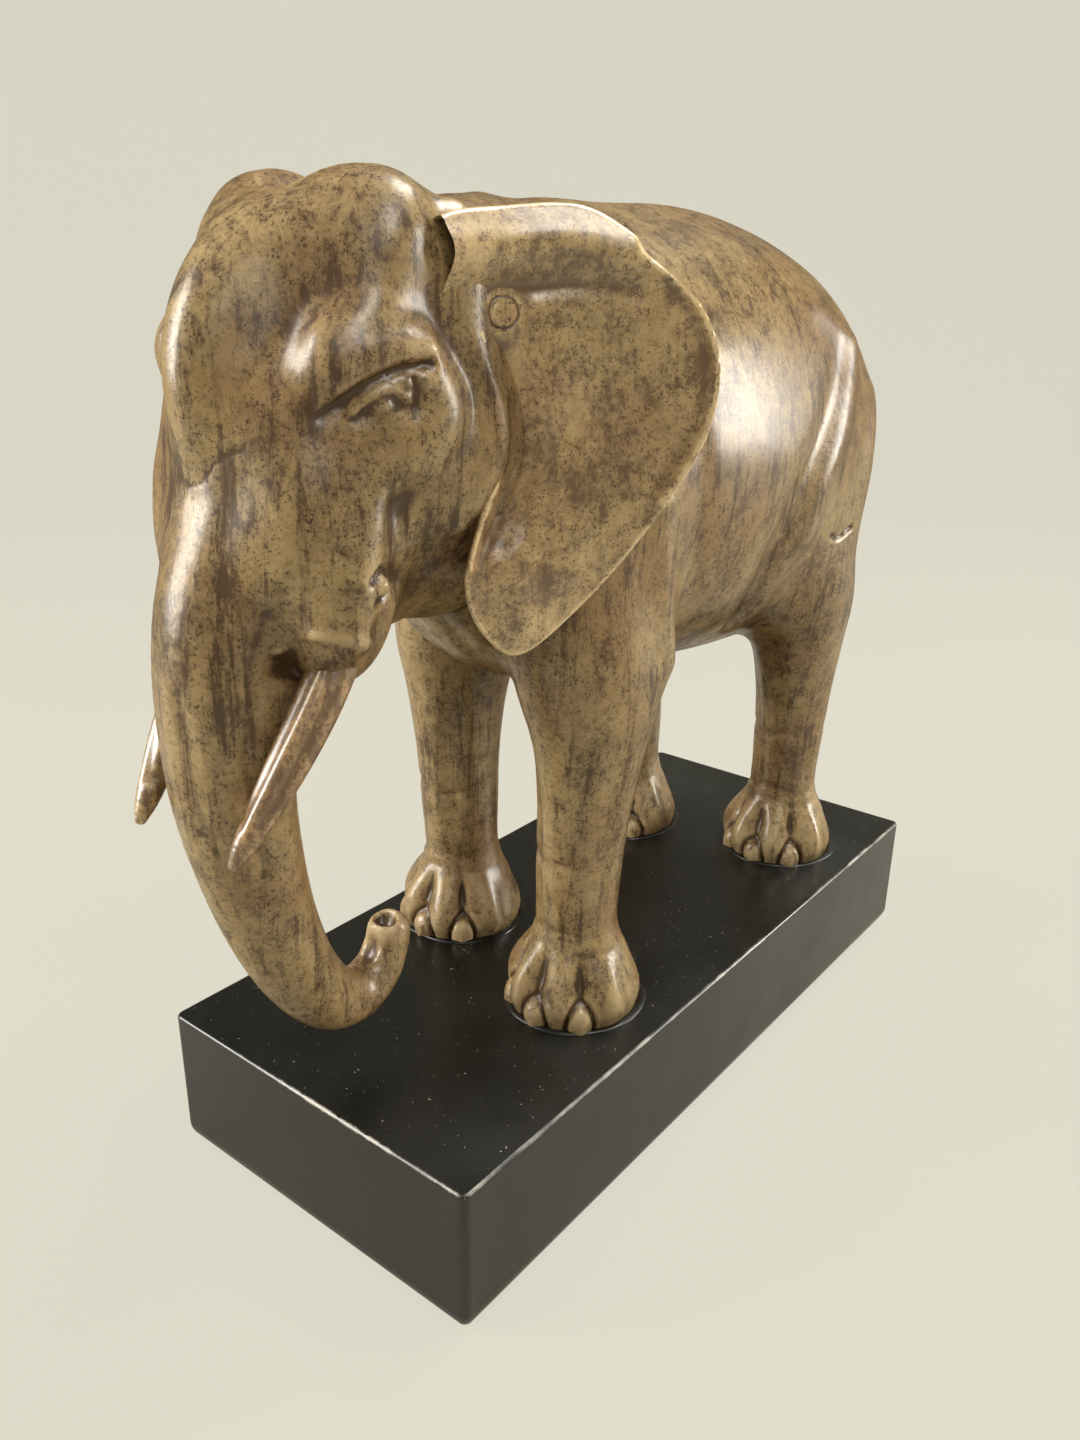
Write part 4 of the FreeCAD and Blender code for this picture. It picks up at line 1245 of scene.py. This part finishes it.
class ELEPHANT_OT_pegs(bpy.types.Operator):
    """Finish the pegs of ears and trunk, and the screws under the feet"""
    bl_idname = "elephant.pegs"
    bl_label = "Pegs and screws"

    def execute(self, context):
        looks = context.scene.elephant_finishes
        peg_wood = patina("peg_wood", looks, 0.4, False)
        metal = steel("plated_steel")
        for name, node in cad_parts.items():
            if name.endswith("dowel"):
                paint(node, peg_wood)
            if name.startswith("foot_screw"):
                paint(node, metal)
        return {"FINISHED"}


class ELEPHANT_OT_plinth(bpy.types.Operator):
    """Lacquer the plinth and lay the beads of lacquer round the feet"""
    bl_idname = "elephant.plinth"
    bl_label = "Plinth"

    def execute(self, context):
        looks = context.scene.elephant_finishes
        paint(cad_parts["plinth"], lacquer("black_lacquer", looks, True))
        wet = lacquer("lacquer_bead", looks, False)
        for name, (out, back, _, _) in FEET.items():
            bead = bead_round(name + "_lacquer_bead", out, back)
            paint(bead, wet)
            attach(bead, "root")
        return {"FINISHED"}


BEAD_STATIONS, BEAD_SIDES, BEAD_HALF = 120, 10, 1.5


def bead_round(name, out, back):
    """A low uneven bead of lacquer round one foot."""
    points, quads = [], []
    for i in range(BEAD_STATIONS):
        turn = 2 * math.pi * i / BEAD_STATIONS
        wave = 0.5 * math.sin(3 * turn + out) + 0.35 * math.sin(7 * turn + back)
        radius = FOOT_RADIUS * FOOT_NARROWED + 0.9 + 0.5 * wave
        half = BEAD_HALF * (1 + 0.25 * wave)
        for j in range(BEAD_SIDES):
            round_it = 2 * math.pi * j / BEAD_SIDES
            far = radius + half * math.cos(round_it)
            points.append((out + far * math.sin(turn), back - far * math.cos(turn),
                           PLINTH_TOP + 0.45 * half * math.sin(round_it)))
            k, m = (i + 1) % BEAD_STATIONS, (j + 1) % BEAD_SIDES
            quads.append((i * BEAD_SIDES + j, k * BEAD_SIDES + j,
                          k * BEAD_SIDES + m, i * BEAD_SIDES + m))
    bead = mesh_object(name, np.array(points), np.array(quads))
    smooth_shade(bead, 180)
    return bead


class ELEPHANT_OT_stage(bpy.types.Operator):
    """Lay the floor and its backdrop, hang the soft boxes and set the camera"""
    bl_idname = "elephant.stage"
    bl_label = "Stage"

    def execute(self, context):
        stage = context.scene.elephant_stage
        make_floor(stage)
        for name, place, size, share in SOFT_BOXES:
            hang_box(name, Vector(place), size, share * stage.lamp)
        world = bpy.data.worlds.new("room")
        context.scene.world = world
        world.use_nodes = True
        ground = world.node_tree.nodes["Background"]
        ground.inputs["Color"].default_value = ROOM_COLOUR
        ground.inputs["Strength"].default_value = ROOM_STRENGTH
        set_camera(context.scene, stage)
        context.scene.view_settings.view_transform = "Standard"
        return {"FINISHED"}


# Soft boxes: place, width and height in metres, share of the lamp power.
SOFT_BOXES = (
    ("left_box", (-0.80, -1.00, 0.68), (0.60, 0.90), 1.7),
    ("right_box", (0.86, 0.94, 0.45), (0.40, 0.60), 0.85),
    ("top_box", (0.17, 0.51, 1.34), (0.50, 0.50), 0.9),
    ("high_right_box", (0.78, -0.20, 1.20), (0.30, 0.50), 0.35),
    ("front_box", (1.00, -0.80, 1.10), (0.90, 0.90), 0.3),
)
FLOOR_RADIUS, SWEEP_RADIUS, WALL_TOP = 1.5, 1.0, 2.6
LAMP_COLOUR, BOXES_FACE = (1.0, 0.97, 0.91), Vector((0, -0.02, 0.19))
ROOM_COLOUR, ROOM_STRENGTH = (1.0, 0.985, 0.94, 1), 0.45


def make_floor(stage):
    """A round floor that sweeps up into a wall on every side."""
    profile = [(0.02 * FLOOR_RADIUS, 0.0), (0.5 * FLOOR_RADIUS, 0.0)]
    for i in range(13):
        turn = math.radians(90.0 * i / 12)
        profile.append((FLOOR_RADIUS + SWEEP_RADIUS * math.sin(turn),
                        SWEEP_RADIUS * (1 - math.cos(turn))))
    profile.append((FLOOR_RADIUS + SWEEP_RADIUS, WALL_TOP))
    turns, rows = 96, len(profile)
    points = []
    for i in range(turns):
        turn = 2 * math.pi * i / turns
        points += [(r * math.cos(turn) / MM, r * math.sin(turn) / MM, z / MM)
                   for r, z in profile]
    quads = []
    for i in range(turns):
        k = (i + 1) % turns
        quads += [(i * rows + j, i * rows + j + 1, k * rows + j + 1, k * rows + j)
                  for j in range(rows - 1)]
    floor = mesh_object("floor", np.array(points), np.array(quads))
    smooth_shade(floor, 180)
    material, shader = new_material("pale_sweep")
    n = Nodes(material)
    shader.inputs["Base Color"].default_value = (*(0.5 * Vector(stage.floor)), 1)
    shader.inputs["Roughness"].default_value = 0.9
    shader.inputs["Specular IOR Level"].default_value = 0.1
    glow = n.add("ShaderNodeEmission")
    glow.inputs["Color"].default_value = (*stage.floor, 1)
    glow.inputs["Strength"].default_value = 1.0
    path = n.add("ShaderNodeLightPath")
    seen = n.math("MULTIPLY", path.outputs["Is Camera Ray"], 0.9)
    blend = n.add("ShaderNodeMixShader")
    n.put(blend.inputs[0], seen)
    n.put(blend.inputs[1], shader.outputs[0])
    n.put(blend.inputs[2], glow.outputs[0])
    n.put(n.tree.nodes["Material Output"].inputs["Surface"], blend.outputs[0])
    paint(floor, material)


def hang_box(name, place, size, power):
    """A soft box that faces the elephant."""
    lamp = bpy.data.lights.new(name, "AREA")
    lamp.shape = "RECTANGLE"
    lamp.size, lamp.size_y = size
    lamp.energy = power
    lamp.color = LAMP_COLOUR
    box = bpy.data.objects.new(name, lamp)
    box.location = place
    box.rotation_euler = (BOXES_FACE - place).to_track_quat("-Z", "Y").to_euler()
    bpy.context.scene.collection.objects.link(box)


def set_camera(scene, stage):
    """The photograph's view: a rolled camera that looks down at the elephant."""
    ahead = (Vector(stage.target) - Vector(stage.eye)).normalized()
    right = ahead.cross(Vector((0, 0, 1))).normalized()
    above = right.cross(ahead)
    cos, sin = math.cos(stage.roll), math.sin(stage.roll)
    axis_x = right * cos + above * sin
    axis_y = above * cos - right * sin
    turn = Matrix((axis_x, axis_y, -ahead)).transposed().to_4x4()
    lens = bpy.data.cameras.new("camera")
    lens.lens = stage.lens
    lens.sensor_width = 36.0
    lens.clip_start = 0.01
    camera = bpy.data.objects.new("camera", lens)
    camera.matrix_world = Matrix.Translation(stage.eye) @ turn
    scene.collection.objects.link(camera)
    scene.camera = camera


class ELEPHANT_PT_panel(bpy.types.Panel):
    """The pieces, in the order in which they are made"""
    bl_idname = "ELEPHANT_PT_panel"
    bl_label = "Carved elephant"
    bl_space_type = "VIEW_3D"
    bl_region_type = "UI"
    bl_category = "Elephant"

    def draw(self, context):
        for operator in OPERATORS:
            self.layout.operator(operator.bl_idname)
        for group in (context.scene.elephant_finishes, context.scene.elephant_stage):
            box = self.layout.box()
            for key in group.__annotations__:
                box.prop(group, key)


OPERATORS = (ELEPHANT_OT_body, ELEPHANT_OT_ears, ELEPHANT_OT_tusks, ELEPHANT_OT_tail,
             ELEPHANT_OT_pegs, ELEPHANT_OT_plinth, ELEPHANT_OT_stage)
CLASSES = (ElephantFinishes, ElephantStage) + OPERATORS + (ELEPHANT_PT_panel,)


def register():
    """Make the classes and their settings known."""
    for kind in CLASSES:
        bpy.utils.register_class(kind)
    bpy.types.Scene.elephant_finishes = bpy.props.PointerProperty(type=ElephantFinishes)
    bpy.types.Scene.elephant_stage = bpy.props.PointerProperty(type=ElephantStage)


def unregister():
    """Take them away again."""
    del bpy.types.Scene.elephant_stage
    del bpy.types.Scene.elephant_finishes
    for kind in reversed(CLASSES):
        bpy.utils.unregister_class(kind)


def main():
    """Make every piece."""
    register()
    bpy.ops.elephant.body()
    bpy.ops.elephant.ears()
    bpy.ops.elephant.tusks()
    bpy.ops.elephant.tail()
    bpy.ops.elephant.pegs()
    bpy.ops.elephant.plinth()
    bpy.ops.elephant.stage()


if __name__ == "__main__":
    main()
